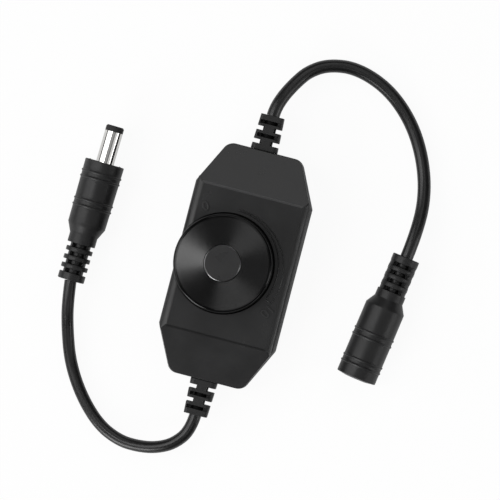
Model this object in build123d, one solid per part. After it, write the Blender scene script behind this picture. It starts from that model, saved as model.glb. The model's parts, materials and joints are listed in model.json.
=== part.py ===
"""In-line rotary dimmer for low-voltage light strips, built as its separate pieces.

Frame: +Z up from the surface that the box lies on, +Y along the box towards the socket's lead and +X to
the right, seen from above. The origin is the centre of the box's underside. All sizes are millimetres.
"""

import os
from math import atan, cos, pi, radians, sin, tan

from build123d import *

FULL_TURN = 360.0
QUARTER_TURN = FULL_TURN / 4

# Box, a moulded shell in two halves
BOX_LENGTH = 71.6
BOX_WIDTH = 36.0
BOX_HEIGHT = 19.0
STRAIGHT_LENGTH = 44.4
END_WIDTH = 22.8
END_TOP = 13.4
SEAM_Z = 8.5
WALL = 1.9
DRAFT = 1.5
END_CORNER_R = 3.4
WAIST_CORNER_R = 1.2
TOP_EDGE_R = 2.6
CREASE_R = 1.6
FOOT_EDGE_R = 0.8
LIP_HEIGHT = 1.0
LIP_THICKNESS = 0.8
LIP_GAP = 0.1

# Clearances between pieces of one body, and around what turns
SEAT_GAP = 0.05
THREAD_GAP = 0.02
BORE_GAP = 0.05
TURN_GAP = 0.3

# Screws that hold the halves together, driven from below
SCREW_X = 10.0
SCREW_Y = 28.0
SCREW_LENGTH = 8.6
SCREW_CORE_R = 1.05
SCREW_HEAD_R = 2.0
SCREW_HEAD_HEIGHT = 1.4
SCREW_HEAD_EDGE = 0.4
SCREW_HOLE_R = 1.25
HEAD_RECESS_R = 2.3
HEAD_RECESS_DEPTH = 4.0
POST_R = 2.9
BOSS_R = 2.6
PILOT_SPARE = 0.5

# Strain reliefs in the box's ends
RELIEF_X = -0.6
RELIEF_LENGTH = 10.8
RELIEF_WIDTH = 8.2
RELIEF_HEIGHT = 6.6
RELIEF_TAPER = 2.9
RELIEF_CORNER_R = 1.4
NECK_WIDTH = 6.4
NECK_HEIGHT = 4.8
NECK_CORNER_R = 1.0
FLANGE_WIDTH = 8.4
FLANGE_HEIGHT = 5.8
FLANGE_THICKNESS = 1.8
CRADLE_THICKNESS = 1.2
CRADLE_WIDTH = 12.0
NOTCH_STARTS = (1.8, 5.9)
NOTCH_LENGTH = 1.25
BRIDGE_WIDTH = 2.8
POCKET_STARTS = (3.9, 8.0)
POCKET_LENGTH = 1.1
POCKET_WIDTH = 6.4
POCKET_WEB = 1.2

# Leads
OUTPUT_CORD_R = 2.0
INPUT_CORD_R = 1.85
CORD_TAIL = 1.8
CORE_R = 0.65
CORE_SPACING = 1.9
CORE_BEND_R = 1.5
CORE_RUN = 3.0

# Knob on the flatted shaft
KNOB_X = -3.3
KNOB_R = 15.0
KNOB_RIM_R = 14.6
KNOB_HEIGHT = 7.2
KNOB_GAP = 0.8
KNOB_WALL = 1.7
RIM_LAND = 0.5
RIM_EDGE_R = 0.35
DISH_DEPTH = 1.9
HUB_R = 4.6
RIB_COUNT = 6
RIB_THICKNESS = 1.0
RIB_LIFT = 1.2
CAP_R = 5.4
CAP_THICKNESS = 0.9
CAP_EDGE = 0.25
CAP_PROUD = 0.1
HUB_ROOF = 0.7

# Potentiometer under the knob
SHAFT_R = 3.0
SHAFT_FLAT = 1.5
SHAFT_TIP_GAP = 0.2
TAIL_R = 1.9
POT_R = 8.2
PLATE_THICKNESS = 1.2
POT_NECK_R = 3.5
POT_NECK_HEIGHT = 2.2
CAN_DEPTH = 5.4
CAN_SHEET = 0.5
WAFER_THICKNESS = 1.0
WAFER_HOLE_R = 4.6
WAFER_EAR_WIDTH = 12.6
WAFER_EAR_REACH = 11.6
ROTOR_R = 6.6
ROTOR_THICKNESS = 1.5
WIPER_SHEET = 0.25
WIPER_INNER_R = 5.0
WIPER_OUTER_R = 6.2
WIPER_TRACK_R = 5.6
WIPER_TIP_R = 0.4
WIPER_SPREAD = 12.0
CLIP_THICKNESS = 0.35
CLIP_R = 4.2
CLIP_GROOVE_DEPTH = 0.4
CLIP_MOUTH = 4.2
SWITCH_R = 7.9
SWITCH_CAVITY_R = 4.8
SWITCH_FLOOR = 1.3
SWITCH_FOOT_COUNT = 3
SWITCH_FOOT_R = 0.8
SWITCH_FOOT_PLACE_R = 6.4
CAM_REACH = 4.2
CAM_WIDTH = 1.6
CAM_HEIGHT = 1.4
BOARD_CLEARANCE = 0.4
PIN_PITCH = 5.0
PIN_WIDTH = 0.9
PIN_THICKNESS = 0.4

# Circuit board and what stands on it
BOARD_EDGE_GAP = 0.6
BOARD_LENGTH = 43.0
BOARD_THICKNESS = 1.6
BOARD_Z = 4.0
BOARD_CORNER = 2.0
BOARD_RIB_X = 11.5
BOARD_RIB_WIDTH = 1.4
BOARD_RIB_LENGTH = 38.0
BOARD_CROSS_RIB_YS = (-9.0, 9.0)
LEAD_STICK_OUT = 0.8
PAD_Y = 18.5
CAPACITOR_R = 3.15
CAPACITOR_HEIGHT = 8.5
CAPACITOR_XY = (9.5, 12.5)
CAPACITOR_PITCH = 2.5
CAPACITOR_STAND_OFF = 0.4
CAPACITOR_CRIMP = 0.3
COMPONENT_LEAD_R = 0.3
TRANSISTOR_XY = (9.6, -13.2)
TRANSISTOR_WIDTH = 6.6
TRANSISTOR_LENGTH = 6.1
TRANSISTOR_HEIGHT = 2.3
TRANSISTOR_TAB = 0.5
TRANSISTOR_TAB_REACH = 1.4
TRANSISTOR_LEG_REACH = 2.8
TRANSISTOR_LEG_PITCH = 4.6
TRANSISTOR_LEG_WIDTH = 0.8
CHIP_XY = (-9.5, 13.0)
CHIP_BODY = (3.9, 4.9, 1.45)
CHIP_LEGS_PER_SIDE = 4
CHIP_LEG_PITCH = 1.27
CHIP_LEG_REACH = 1.05
CHIP_LEG_SHEET = 0.2
CHIP_LEG_WIDTH = 0.4
CHIP_LEG_HEIGHT = 0.7
CHIP_STAND_OFF = 0.1
DIODE_XY = (-9.0, -13.5)
DIODE_BODY = (2.6, 4.3, 2.1)
RESISTOR_XYS = ((-2.5, 12.0), (0.5, 12.0), (3.5, 12.0))
SMALL_CAPACITOR_XYS = ((-3.0, -12.5), (1.0, -12.5))
CHIP_PART = (1.25, 2.0, 0.6)
CERAMIC_HEIGHT = 1.1

# Coaxial plug, 5.5 mm outside and 2.1 mm inside
SLEEVE_R = 2.75
SLEEVE_BORE_R = 2.35
SLEEVE_LENGTH = 9.8
TIP_RING_LENGTH = 1.8
TIP_CHAMFER = 0.4
LINER_BORE_R = 1.6
INNER_CONTACT_R = 1.55
INNER_CONTACT_BORE_R = 1.05
INNER_CONTACT_SET_BACK = 0.6
SLEEVE_EMBEDDED = 6.0
SLEEVE_COLLAR_R = 3.3
CONTACT_EMBEDDED = 8.0
CONTACT_BORE_DEPTH = 12.0
PLUG_FRONT_R = 6.05
PLUG_BACK_R = 5.8
PLUG_BODY = 19.7
PLUG_CONE = 3.2
PLUG_NECK_R = 4.3
PLUG_NECK = 2.8

# In-line socket
JACK_R = 6.15
JACK_BODY = 23.1
JACK_DOME = 0.5
JACK_CONE = 2.8
JACK_NECK_R = 4.5
JACK_NECK = 2.5
JACK_MOUTH_R = 3.4
JACK_MOUTH_DEPTH = 1.2
INSERT_R = 4.4
INSERT_LENGTH = 15.0
INSERT_BORE_R = 2.8
INSERT_BORE_DEPTH = 10.4
JACK_PIN_R = 1.0
JACK_PIN_SET_BACK = 1.0
JACK_PIN_HEAD_R = 1.9
JACK_PIN_HEAD = 1.6
JACK_PIN_SEAT_R = 1.35
SPRING_WIDTH = 2.0
SPRING_SHEET = 0.3
SPRING_LENGTH = 9.0
SPRING_PROUD = 0.1

# Grip rings and ribbed tails, alike on both moulded grips
GRIP_EDGE_R = 0.3
RING_PROUD = 0.25
RING_WIDTH = 0.7
RING_PLACES = (3.6, 5.4, 12.3, 14.2)
GAP_COUNT = 4
GAP_LENGTH = 1.27
RIB_LENGTH = 1.35
COLLAR_LENGTH = 2.2
TAIL_CORE_R = 1.85
TAIL_WEB = 1.2
PLUG_RIB_R = 4.1
PLUG_CHEEK_X = 2.3
PLUG_CHEEK_R = 3.1
JACK_RIB_R = 4.2
JACK_CHEEK_X = 2.9
JACK_CHEEK_R = 4.1

# Routes of the two free leads. A route starts at its relief with a straight run, goes through these
# points, chosen by hand, and ends level at the height of the grip, which lies in line with the last run.
PLUG_AXIS_Z = PLUG_FRONT_R + RING_PROUD
JACK_AXIS_Z = JACK_R + RING_PROUD
EXIT_Y = BOX_LENGTH / 2 + RELIEF_LENGTH
OUTPUT_ROUTE = [
    (RELIEF_X, EXIT_Y, SEAM_Z),
    (RELIEF_X, EXIT_Y + 5.6, SEAM_Z),
    (2.0, 59.0, 7.2),
    (8.8, 65.4, 4.6),
    (20.2, 67.4, 2.5),
    (31.2, 63.8, 2.1),
    (40.4, 55.9, 2.2),
    (46.7, 45.4, 2.1),
    (50.2, 33.8, 3.5),
    (50.15, 22.6, JACK_AXIS_Z),
    (49.1, 15.4, JACK_AXIS_Z),
]
INPUT_ROUTE = [
    (RELIEF_X, -EXIT_Y, SEAM_Z),
    (RELIEF_X, -EXIT_Y - 5.6, SEAM_Z),
    (-2.8, -57.4, 7.9),
    (-6.8, -61.1, 6.6),
    (-11.7, -62.8, 5.0),
    (-19.2, -62.2, 3.4),
    (-27.6, -57.2, 2.2),
    (-35.3, -49.5, 1.9),
    (-41.7, -40.4, 2.0),
    (-45.7, -31.1, 3.5),
    (-47.8, -23.5, PLUG_AXIS_Z),
    (-47.6, -16.9, PLUG_AXIS_Z),
]
ARC_SHARE = 0.45

# Heights that follow from the sizes above
SLOPE = atan((BOX_HEIGHT - END_TOP) / (BOX_LENGTH / 2 - STRAIGHT_LENGTH / 2))
FACE_UNDERSIDE = BOX_HEIGHT - WALL
BOARD_TOP = BOARD_Z + BOARD_THICKNESS
BOARD_WIDTH = BOX_WIDTH - 2 * WALL - 2 * BOARD_EDGE_GAP
PLATE_BOTTOM = FACE_UNDERSIDE - PLATE_THICKNESS
CAN_BOTTOM = PLATE_BOTTOM - CAN_DEPTH
SWITCH_BOTTOM = BOARD_TOP + BOARD_CLEARANCE
WAFER_TOP = PLATE_BOTTOM - CAN_SHEET / 2
WAFER_BOTTOM = WAFER_TOP - WAFER_THICKNESS
ROTOR_TOP = WAFER_BOTTOM - TURN_GAP - 3 * WIPER_SHEET
ROTOR_BOTTOM = ROTOR_TOP - ROTOR_THICKNESS
KNOB_BASE = BOX_HEIGHT + KNOB_GAP
KNOB_TOP = KNOB_BASE + KNOB_HEIGHT
CAP_SEAT = KNOB_TOP - DISH_DEPTH - CAP_THICKNESS
HUB_BORE_TOP = CAP_SEAT - HUB_ROOF
SHAFT_TOP = HUB_BORE_TOP - SHAFT_TIP_GAP
TAIL_LENGTH = GAP_COUNT * GAP_LENGTH + (GAP_COUNT - 1) * RIB_LENGTH + COLLAR_LENGTH
PLUG_LENGTH = PLUG_BODY + PLUG_CONE + PLUG_NECK + TAIL_LENGTH
JACK_LENGTH = JACK_BODY + JACK_CONE + JACK_NECK + TAIL_LENGTH
PIN_ROW_X = KNOB_X + WAFER_EAR_REACH - 2 * PIN_WIDTH
SCREW_TOP = HEAD_RECESS_DEPTH + SCREW_LENGTH
FLANGE_FRONT = WALL + SEAT_GAP + FLANGE_HEIGHT / 2 * tan(radians(DRAFT))
CRADLE_FRONT = FLANGE_FRONT + FLANGE_THICKNESS + SEAT_GAP
CORD_TAIL_DEPTH = CRADLE_FRONT + CRADLE_THICKNESS + CORD_TAIL
CLIP_BOTTOM = PLATE_BOTTOM - TURN_GAP / 2 - CLIP_THICKNESS
NECK_TOP = FACE_UNDERSIDE + POT_NECK_HEIGHT


def solid_box(low, high):
    """A block between two corners."""
    size = [b - a for a, b in zip(low, high)]
    middle = [(a + b) / 2 for a, b in zip(low, high)]
    return Pos(*middle) * Box(*size)


def rod(radius, low, high, at=(0.0, 0.0)):
    """An upright cylinder between two heights."""
    return Pos(at[0], at[1], (low + high) / 2) * Cylinder(radius, high - low)


def tube(radius, bore, low, high, at=(0.0, 0.0)):
    """An upright tube between two heights."""
    return rod(radius, low, high, at) - rod(bore, low, high, at)


def rounded_slab(width, height, corner, low, high):
    """A rounded rectangle drawn across local Z, between two places along it."""
    return extrude(Plane.XY.offset(low) * RectangleRounded(width, height, corner), amount=high - low)


def on_circle(radius, angle):
    """The plan place at an angle on a circle about the local origin."""
    return radius * cos(radians(angle)), radius * sin(radians(angle))


def lathe(points):
    """The body of revolution about Z of a profile of radius and height pairs."""
    profile = Plane.XZ * make_face(Polyline(*points, close=True))
    return revolve(profile, axis=Axis.Z)


def box_outline(inset=0.0):
    """Plan of the box, drawn in from its widest outline."""
    half_length = BOX_LENGTH / 2
    half_straight = STRAIGHT_LENGTH / 2
    quarter = [(BOX_WIDTH / 2, half_straight), (END_WIDTH / 2, half_length)]
    right = [(x, -y) for x, y in reversed(quarter)] + quarter
    left = [(-x, -y) for x, y in right]
    outline = make_face(Polyline(*right, *left, close=True))
    if inset:
        outline = offset(outline, amount=-inset, kind=Kind.INTERSECTION)
    between = (half_length + half_straight) / 2
    ends = outline.vertices().filter_by(lambda corner: abs(corner.Y) > between)
    outline = fillet(ends, radius=END_CORNER_R - inset)
    waists = outline.vertices().filter_by(lambda corner: abs(corner.X) > BOX_WIDTH / 2 - inset - SEAT_GAP)
    return fillet(waists, radius=WAIST_CORNER_R)


def roof(inset=0.0):
    """All that lies below the flat face and the two end slopes, drawn in by a wall."""
    reach = BOX_LENGTH
    crease = STRAIGHT_LENGTH / 2 - inset * tan(SLOPE / 2)
    top = BOX_HEIGHT - inset
    far = top - (reach - crease) * tan(SLOPE)
    profile = make_face(Polyline((-reach, far), (-crease, top), (crease, top), (reach, far), close=True))
    profile = fillet(profile.vertices().group_by(Axis.Y)[-1], radius=CREASE_R)
    return extrude(Plane.YZ * profile, amount=BOX_WIDTH, both=True)


def tunnel():
    """Cross-section of the box with its rounded top edges, drawn along Y past both ends."""
    half = BOX_WIDTH / 2 - (BOX_HEIGHT - TOP_EDGE_R - SEAM_Z) * tan(radians(DRAFT))
    section = make_face(Polyline((-half, 0), (-half, BOX_HEIGHT), (half, BOX_HEIGHT), (half, 0), close=True))
    section = fillet(section.vertices().group_by(Axis.Y)[-1], radius=TOP_EDGE_R)
    middle = BOX_HEIGHT - TOP_EDGE_R
    whole = extrude(Plane.XZ * section, amount=BOX_LENGTH, both=True)
    return whole + solid_box((-BOX_WIDTH, -BOX_LENGTH, 0), (BOX_WIDTH, BOX_LENGTH, middle))


def upper_form(inset=0.0):
    """Drafted upper half of the box, solid."""
    prism = extrude(
        Plane.XY.offset(SEAM_Z) * box_outline(inset), amount=BOX_HEIGHT - SEAM_Z, taper=DRAFT
    )
    return prism & roof(inset)


def lower_form(inset=0.0, floor=0.0):
    """Drafted lower half of the box, solid, down to a floor."""
    prism = extrude(Plane.XY.offset(-SEAM_Z) * box_outline(inset), amount=SEAM_Z - floor, taper=DRAFT)
    return mirror(prism, about=Plane.XY)


def screw_places():
    """The four screws' places in plan."""
    return [(x, y) for x in (-SCREW_X, SCREW_X) for y in (-SCREW_Y, SCREW_Y)]


def relief_plane(side):
    """Local frame of a relief: Z points out of the box's end, from the end wall's outer face."""
    return Plane(origin=(RELIEF_X, side * BOX_LENGTH / 2, SEAM_Z), x_dir=(1, 0, 0), z_dir=(0, side, 0))


def relief_windows():
    """What both halves leave open for the reliefs' necks."""
    gap = 2 * SEAT_GAP
    window = rounded_slab(NECK_WIDTH + gap, NECK_HEIGHT + gap, NECK_CORNER_R, -2 * WALL, WALL)
    return [relief_plane(side) * window for side in (-1, 1)]


def cradles():
    """Cross ribs behind the relief flanges, cut out for the leads, through the whole height."""
    half = CRADLE_WIDTH / 2
    back = -CRADLE_FRONT - CRADLE_THICKNESS
    ribs = []
    for side, cord_r in ((-1, INPUT_CORD_R), (1, OUTPUT_CORD_R)):
        slab = solid_box((-half, -BOX_HEIGHT, back), (half, BOX_HEIGHT, -CRADLE_FRONT))
        slab -= rod(cord_r + SEAT_GAP, back, -CRADLE_FRONT)
        ribs.append(relief_plane(side) * slab)
    return ribs


def upper_shell():
    """Top half: flat face, two sloped ends, screw bosses, and a rebate for the lower half's lip."""
    cavity = upper_form(WALL)
    shell = (upper_form() & tunnel()) - cavity
    for place in screw_places():
        boss = rod(BOSS_R, SEAM_Z, BOX_HEIGHT, place) & cavity
        pilot = rod(SCREW_CORE_R + THREAD_GAP, SEAM_Z, SCREW_TOP + PILOT_SPARE, place)
        shell += boss - pilot
    for rib in cradles():
        shell += rib & cavity
    rebate = box_outline(WALL - LIP_THICKNESS - LIP_GAP) - box_outline(WALL)
    shell -= extrude(Plane.XY.offset(SEAM_Z) * rebate, amount=LIP_HEIGHT + LIP_GAP)
    for window in relief_windows():
        shell -= window
    shell -= rod(POT_NECK_R + SEAT_GAP, FACE_UNDERSIDE - WALL, BOX_HEIGHT + WALL, (KNOB_X, 0))
    return shell


def lower_shell():
    """Bottom half: tray with a lip, screw posts, ribs under the board and cradles for the leads."""
    outer = lower_form()
    foot = outer.edges().filter_by(lambda edge: edge.center().Z < SEAT_GAP)
    shell = fillet(foot, radius=FOOT_EDGE_R)
    cavity = lower_form(WALL, floor=WALL)
    shell -= cavity
    lip = box_outline(WALL - LIP_THICKNESS) - box_outline(WALL)
    shell += extrude(Plane.XY.offset(SEAM_Z) * lip, amount=LIP_HEIGHT)
    half_rib = BOARD_RIB_WIDTH / 2
    half_run = BOARD_RIB_LENGTH / 2
    ribs = [
        solid_box((x - half_rib, -half_run, 0), (x + half_rib, half_run, BOARD_Z))
        for x in (-BOARD_RIB_X, BOARD_RIB_X)
    ]
    for y in BOARD_CROSS_RIB_YS:
        ribs.append(solid_box((-BOARD_RIB_X, y - half_rib, 0), (BOARD_RIB_X, y + half_rib, BOARD_Z)))
    for place in screw_places():
        ribs.append(rod(POST_R, 0, SEAM_Z - SEAT_GAP, place))
    for rib in ribs + cradles():
        shell += rib & cavity
    for place in screw_places():
        shell -= rod(HEAD_RECESS_R, 0, HEAD_RECESS_DEPTH, place)
        shell -= rod(SCREW_HOLE_R, 0, SEAM_Z, place)
    for window in relief_windows():
        shell -= window
    return shell


def shell_screws():
    """Four self-tapping screws, at their core diameter."""
    screws = []
    for place in screw_places():
        head = rod(SCREW_HEAD_R, HEAD_RECESS_DEPTH - SCREW_HEAD_HEIGHT, HEAD_RECESS_DEPTH, place)
        head = chamfer(head.edges().group_by(Axis.Z)[0], SCREW_HEAD_EDGE)
        screws.append(head + rod(SCREW_CORE_R, HEAD_RECESS_DEPTH, SCREW_TOP, place))
    return Compound(screws)


def relief(side, cord_r):
    """Moulded strain relief: side notches take turns with slots from above and below."""
    section = RectangleRounded(RELIEF_WIDTH, RELIEF_HEIGHT, RELIEF_CORNER_R)
    outer = extrude(section, amount=RELIEF_LENGTH, taper=RELIEF_TAPER)
    neck = rounded_slab(NECK_WIDTH, NECK_HEIGHT, NECK_CORNER_R, -FLANGE_FRONT, 0)
    back = -FLANGE_FRONT - FLANGE_THICKNESS
    flange = rounded_slab(FLANGE_WIDTH, FLANGE_HEIGHT, NECK_CORNER_R, back, -FLANGE_FRONT)
    boot = outer + neck + flange
    tall = RELIEF_HEIGHT
    for start in NOTCH_STARTS:
        end = start + NOTCH_LENGTH
        across = solid_box((-RELIEF_WIDTH, -tall, start), (RELIEF_WIDTH, tall, end))
        boot -= across - solid_box((-BRIDGE_WIDTH / 2, -tall, start), (BRIDGE_WIDTH / 2, tall, end))
    half = POCKET_WIDTH / 2
    for start in POCKET_STARTS:
        end = start + POCKET_LENGTH
        for low, high in ((-tall, -POCKET_WEB / 2), (POCKET_WEB / 2, tall)):
            boot -= solid_box((-half, low, start), (half, high, end))
    boot -= rod(cord_r + THREAD_GAP, -BOX_LENGTH, BOX_LENGTH)
    return relief_plane(side) * boot


def cord_end(side, cord_r):
    """The stretch of a lead that its relief grips, up to where the jacket is stripped."""
    return relief_plane(side) * rod(cord_r, -CORD_TAIL_DEPTH, RELIEF_LENGTH)


def wires(side):
    """The two cores of a lead, from the stripped jacket down to the board."""
    start_y = BOX_LENGTH / 2 - CORD_TAIL_DEPTH
    cores = []
    for sign in (-1, 1):
        x = RELIEF_X + sign * CORE_SPACING / 2
        spread = RELIEF_X + sign * CORE_SPACING
        path = FilletPolyline(
            (x, side * start_y, SEAM_Z),
            (x, side * (start_y - CORE_RUN), SEAM_Z),
            (spread, side * PAD_Y, SEAM_Z),
            (spread, side * PAD_Y, BOARD_TOP),
            radius=[CORE_BEND_R, CORE_BEND_R],
        )
        section = Plane(origin=path @ 0, z_dir=path % 0) * Circle(CORE_R)
        cores.append(sweep(section, path=path))
    return Compound(cores)


def lead(name, route, radius):
    """A free lead as straight runs and tangent arcs, with its radii and volume printed."""
    points = [Vector(*point) for point in route]
    runs = [after - before for before, after in zip(points, points[1:])]
    radii = []
    for before, after in zip(runs, runs[1:]):
        half_turn = radians(before.get_angle(after)) / 2
        radii.append(ARC_SHARE * min(before.length, after.length) / tan(half_turn))
    path = FilletPolyline(*points, radius=radii)
    section = Plane(origin=path @ 0, z_dir=path % 0) * Circle(radius)
    cord = sweep(section, path=path)
    share = cord.volume / (pi * radius**2 * path.length)
    print(name, "length", round(path.length, 1), "volume share", round(share, 4))
    print(name, "radii", [round(value, 1) for value in radii])
    print(name, "runs", [round(run.length, 1) for run in runs])
    return cord


def shaft_section(radius, flat):
    """Round section with one flat, for the shaft's top and the knob's bore."""
    return Circle(radius) - Pos(0, -flat - radius) * Rectangle(2 * radius, 2 * radius)


def knob():
    """Large disc knob with a dished face, a seat for its cap, and a ribbed underside round its hub."""
    dish_r = KNOB_RIM_R - RIM_LAND
    seat_r = CAP_R + BORE_GAP
    dish_low = KNOB_TOP - DISH_DEPTH
    body = lathe(
        [
            (0, KNOB_BASE),
            (KNOB_R, KNOB_BASE),
            (KNOB_RIM_R, KNOB_TOP),
            (dish_r, KNOB_TOP),
            (seat_r, dish_low),
            (seat_r, CAP_SEAT),
            (0, CAP_SEAT),
        ]
    )
    rim = body.edges().group_by(Axis.Z)[-1].sort_by(SortBy.RADIUS)[-1]
    body = fillet(rim, radius=RIM_EDGE_R)
    skirt_r = KNOB_R - KNOB_WALL
    hollow = lathe(
        [
            (HUB_R, KNOB_BASE),
            (skirt_r, KNOB_BASE),
            (skirt_r, KNOB_TOP - KNOB_WALL - RIM_LAND),
            (HUB_R, dish_low - KNOB_WALL - RIM_LAND),
        ]
    )
    body -= hollow
    for turn in range(RIB_COUNT):
        rib = solid_box(
            (0, -RIB_THICKNESS / 2, KNOB_BASE + RIB_LIFT), (KNOB_R, RIB_THICKNESS / 2, KNOB_TOP)
        )
        body += (Rot(0, 0, turn * FULL_TURN / RIB_COUNT) * rib) & hollow
    bore = shaft_section(SHAFT_R + BORE_GAP, SHAFT_FLAT + BORE_GAP)
    body -= extrude(Plane.XY.offset(KNOB_BASE) * bore, amount=HUB_BORE_TOP - KNOB_BASE)
    return Pos(KNOB_X, 0) * body


def knob_cap():
    """Flat disc that closes the knob's centre."""
    top = KNOB_TOP - DISH_DEPTH + CAP_PROUD
    cap = rod(CAP_R, CAP_SEAT, top, (KNOB_X, 0))
    return chamfer(cap.edges().group_by(Axis.Z)[-1], CAP_EDGE)


def pot_shaft():
    """Shaft with a flatted top, a clip groove, and a tail with the switch's cam."""
    shaft = rod(SHAFT_R, ROTOR_TOP, NECK_TOP)
    flatted = shaft_section(SHAFT_R, SHAFT_FLAT)
    shaft += extrude(Plane.XY.offset(NECK_TOP) * flatted, amount=SHAFT_TOP - NECK_TOP)
    groove_top = CLIP_BOTTOM + CLIP_THICKNESS + SEAT_GAP
    shaft -= tube(2 * SHAFT_R, SHAFT_R - CLIP_GROOVE_DEPTH, CLIP_BOTTOM - SEAT_GAP, groove_top)
    low = SWITCH_BOTTOM + SWITCH_FLOOR + TURN_GAP
    shaft += rod(TAIL_R, low, ROTOR_TOP)
    shaft += solid_box((0, -CAM_WIDTH / 2, low), (CAM_REACH, CAM_WIDTH / 2, low + CAM_HEIGHT))
    return Pos(KNOB_X, 0) * shaft


def shaft_clip():
    """Open retaining ring in the shaft's groove."""
    inner = SHAFT_R - CLIP_GROOVE_DEPTH + THREAD_GAP
    ring = tube(CLIP_R, inner, CLIP_BOTTOM, CLIP_BOTTOM + CLIP_THICKNESS)
    mouth = solid_box((0, -CLIP_MOUTH / 2, 0), (2 * CLIP_R, CLIP_MOUTH / 2, BOX_HEIGHT))
    return Pos(KNOB_X, 0) * (ring - mouth)


def pot_neck():
    """Front plate with the plain neck that the shaft turns in."""
    body = rod(POT_R, PLATE_BOTTOM, FACE_UNDERSIDE) + rod(POT_NECK_R, PLATE_BOTTOM, NECK_TOP)
    body -= rod(SHAFT_R + BORE_GAP, PLATE_BOTTOM, NECK_TOP)
    return Pos(KNOB_X, 0) * body


def wafer_ear(gap=0.0):
    """The part of the wafer that reaches out to the solder pins, or with a gap the slot for it."""
    half = WAFER_EAR_WIDTH / 2 + gap
    return solid_box((0, -half, WAFER_BOTTOM - gap), (WAFER_EAR_REACH, half, WAFER_TOP + gap))


def pot_can():
    """Sheet can round the potentiometer, with a slot for the wafer's ear."""
    floor_top = CAN_BOTTOM + CAN_SHEET
    can = rod(POT_R, CAN_BOTTOM, PLATE_BOTTOM) - rod(POT_R - CAN_SHEET, floor_top, PLATE_BOTTOM)
    can -= rod(TAIL_R + TURN_GAP, CAN_BOTTOM, floor_top)
    can -= wafer_ear(gap=SEAT_GAP) & solid_box((SHAFT_R, -POT_R, 0), (2 * POT_R, POT_R, PLATE_BOTTOM))
    return Pos(KNOB_X, 0) * can


def pot_track():
    """Wafer that carries the resistive track."""
    wafer = rod(POT_R - CAN_SHEET - SEAT_GAP, WAFER_BOTTOM, WAFER_TOP) + wafer_ear()
    wafer -= rod(WAFER_HOLE_R, WAFER_BOTTOM, WAFER_TOP)
    return Pos(KNOB_X, 0) * wafer


def pot_rotor():
    """Carrier pressed on the shaft's tail."""
    return Pos(KNOB_X, 0) * tube(ROTOR_R, TAIL_R + THREAD_GAP, ROTOR_BOTTOM, ROTOR_TOP)


def pot_wiper():
    """Spring ring on the rotor, with two contact fingers under the track."""
    ring = tube(WIPER_OUTER_R, WIPER_INNER_R, ROTOR_TOP, ROTOR_TOP + WIPER_SHEET)
    tip_top = WAFER_BOTTOM - TURN_GAP / 2
    for angle in (-WIPER_SPREAD, WIPER_SPREAD):
        ring += rod(WIPER_TIP_R, ROTOR_TOP, tip_top, on_circle(WIPER_TRACK_R, angle))
    return Pos(KNOB_X, 0) * ring


def pot_pins():
    """Three flat pins from the wafer's ear down through the board."""
    x, thick, wide = PIN_ROW_X, PIN_THICKNESS / 2, PIN_WIDTH / 2
    low = BOARD_Z - LEAD_STICK_OUT
    pins = [
        solid_box((x - thick, y - wide, low), (x + thick, y + wide, WAFER_BOTTOM))
        for y in (-PIN_PITCH, 0, PIN_PITCH)
    ]
    return Compound(pins)


def switch_case():
    """Moulded switch section behind the potentiometer, hollow for the cam."""
    case = rod(SWITCH_R, SWITCH_BOTTOM, CAN_BOTTOM)
    case -= rod(SWITCH_CAVITY_R, SWITCH_BOTTOM + SWITCH_FLOOR, CAN_BOTTOM)
    for number in range(SWITCH_FOOT_COUNT):
        place = on_circle(SWITCH_FOOT_PLACE_R, QUARTER_TURN + number * FULL_TURN / SWITCH_FOOT_COUNT)
        case += rod(SWITCH_FOOT_R, BOARD_TOP, SWITCH_BOTTOM, place)
    return Pos(KNOB_X, 0) * case


def switch_pins():
    """Two flat pins of the switch, through the board."""
    thick, wide = PIN_THICKNESS / 2, PIN_WIDTH / 2
    low = BOARD_Z - LEAD_STICK_OUT
    pins = [
        solid_box((x - wide, -thick, low), (x + wide, thick, SWITCH_BOTTOM))
        for x in (KNOB_X - PIN_PITCH / 2, KNOB_X + PIN_PITCH / 2)
    ]
    return Compound(pins)


def board_holes():
    """Every hole that a lead or pin goes through, wide enough for solder."""
    wide = PIN_WIDTH / 2 + 2 * SEAT_GAP
    narrow = COMPONENT_LEAD_R + SEAT_GAP
    places = [(PIN_ROW_X, y) for y in (-PIN_PITCH, 0, PIN_PITCH)]
    places += [(KNOB_X + dx, 0) for dx in (-PIN_PITCH / 2, PIN_PITCH / 2)]
    holes = [rod(wide, BOARD_Z, BOARD_TOP, place) for place in places]
    holes += [rod(narrow, BOARD_Z, BOARD_TOP, place) for place in capacitor_lead_places()]
    return holes


def circuit_board():
    """Board with cut corners and its lead holes."""
    outline = chamfer(Rectangle(BOARD_WIDTH, BOARD_LENGTH).vertices(), BOARD_CORNER)
    board = extrude(Plane.XY.offset(BOARD_Z) * outline, amount=BOARD_THICKNESS)
    for hole in board_holes():
        board -= hole
    return board


def capacitor_lead_places():
    """Plan places of the smoothing capacitor's two leads."""
    x, y = CAPACITOR_XY
    return [(x, y - CAPACITOR_PITCH / 2), (x, y + CAPACITOR_PITCH / 2)]


def smoothing_capacitor():
    """Electrolytic can with the crimp groove near its foot."""
    low = BOARD_TOP + CAPACITOR_STAND_OFF
    can = rod(CAPACITOR_R, low, low + CAPACITOR_HEIGHT, CAPACITOR_XY)
    can = chamfer(can.edges(), CAPACITOR_CRIMP)
    crimp_low, crimp_high = low + 3 * CAPACITOR_CRIMP, low + 5 * CAPACITOR_CRIMP
    return can - tube(2 * CAPACITOR_R, CAPACITOR_R - CAPACITOR_CRIMP, crimp_low, crimp_high, CAPACITOR_XY)


def capacitor_leads():
    """Two round leads through the board."""
    low, high = BOARD_Z - LEAD_STICK_OUT, BOARD_TOP + CAPACITOR_STAND_OFF
    return Compound([rod(COMPONENT_LEAD_R, low, high, place) for place in capacitor_lead_places()])


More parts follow.
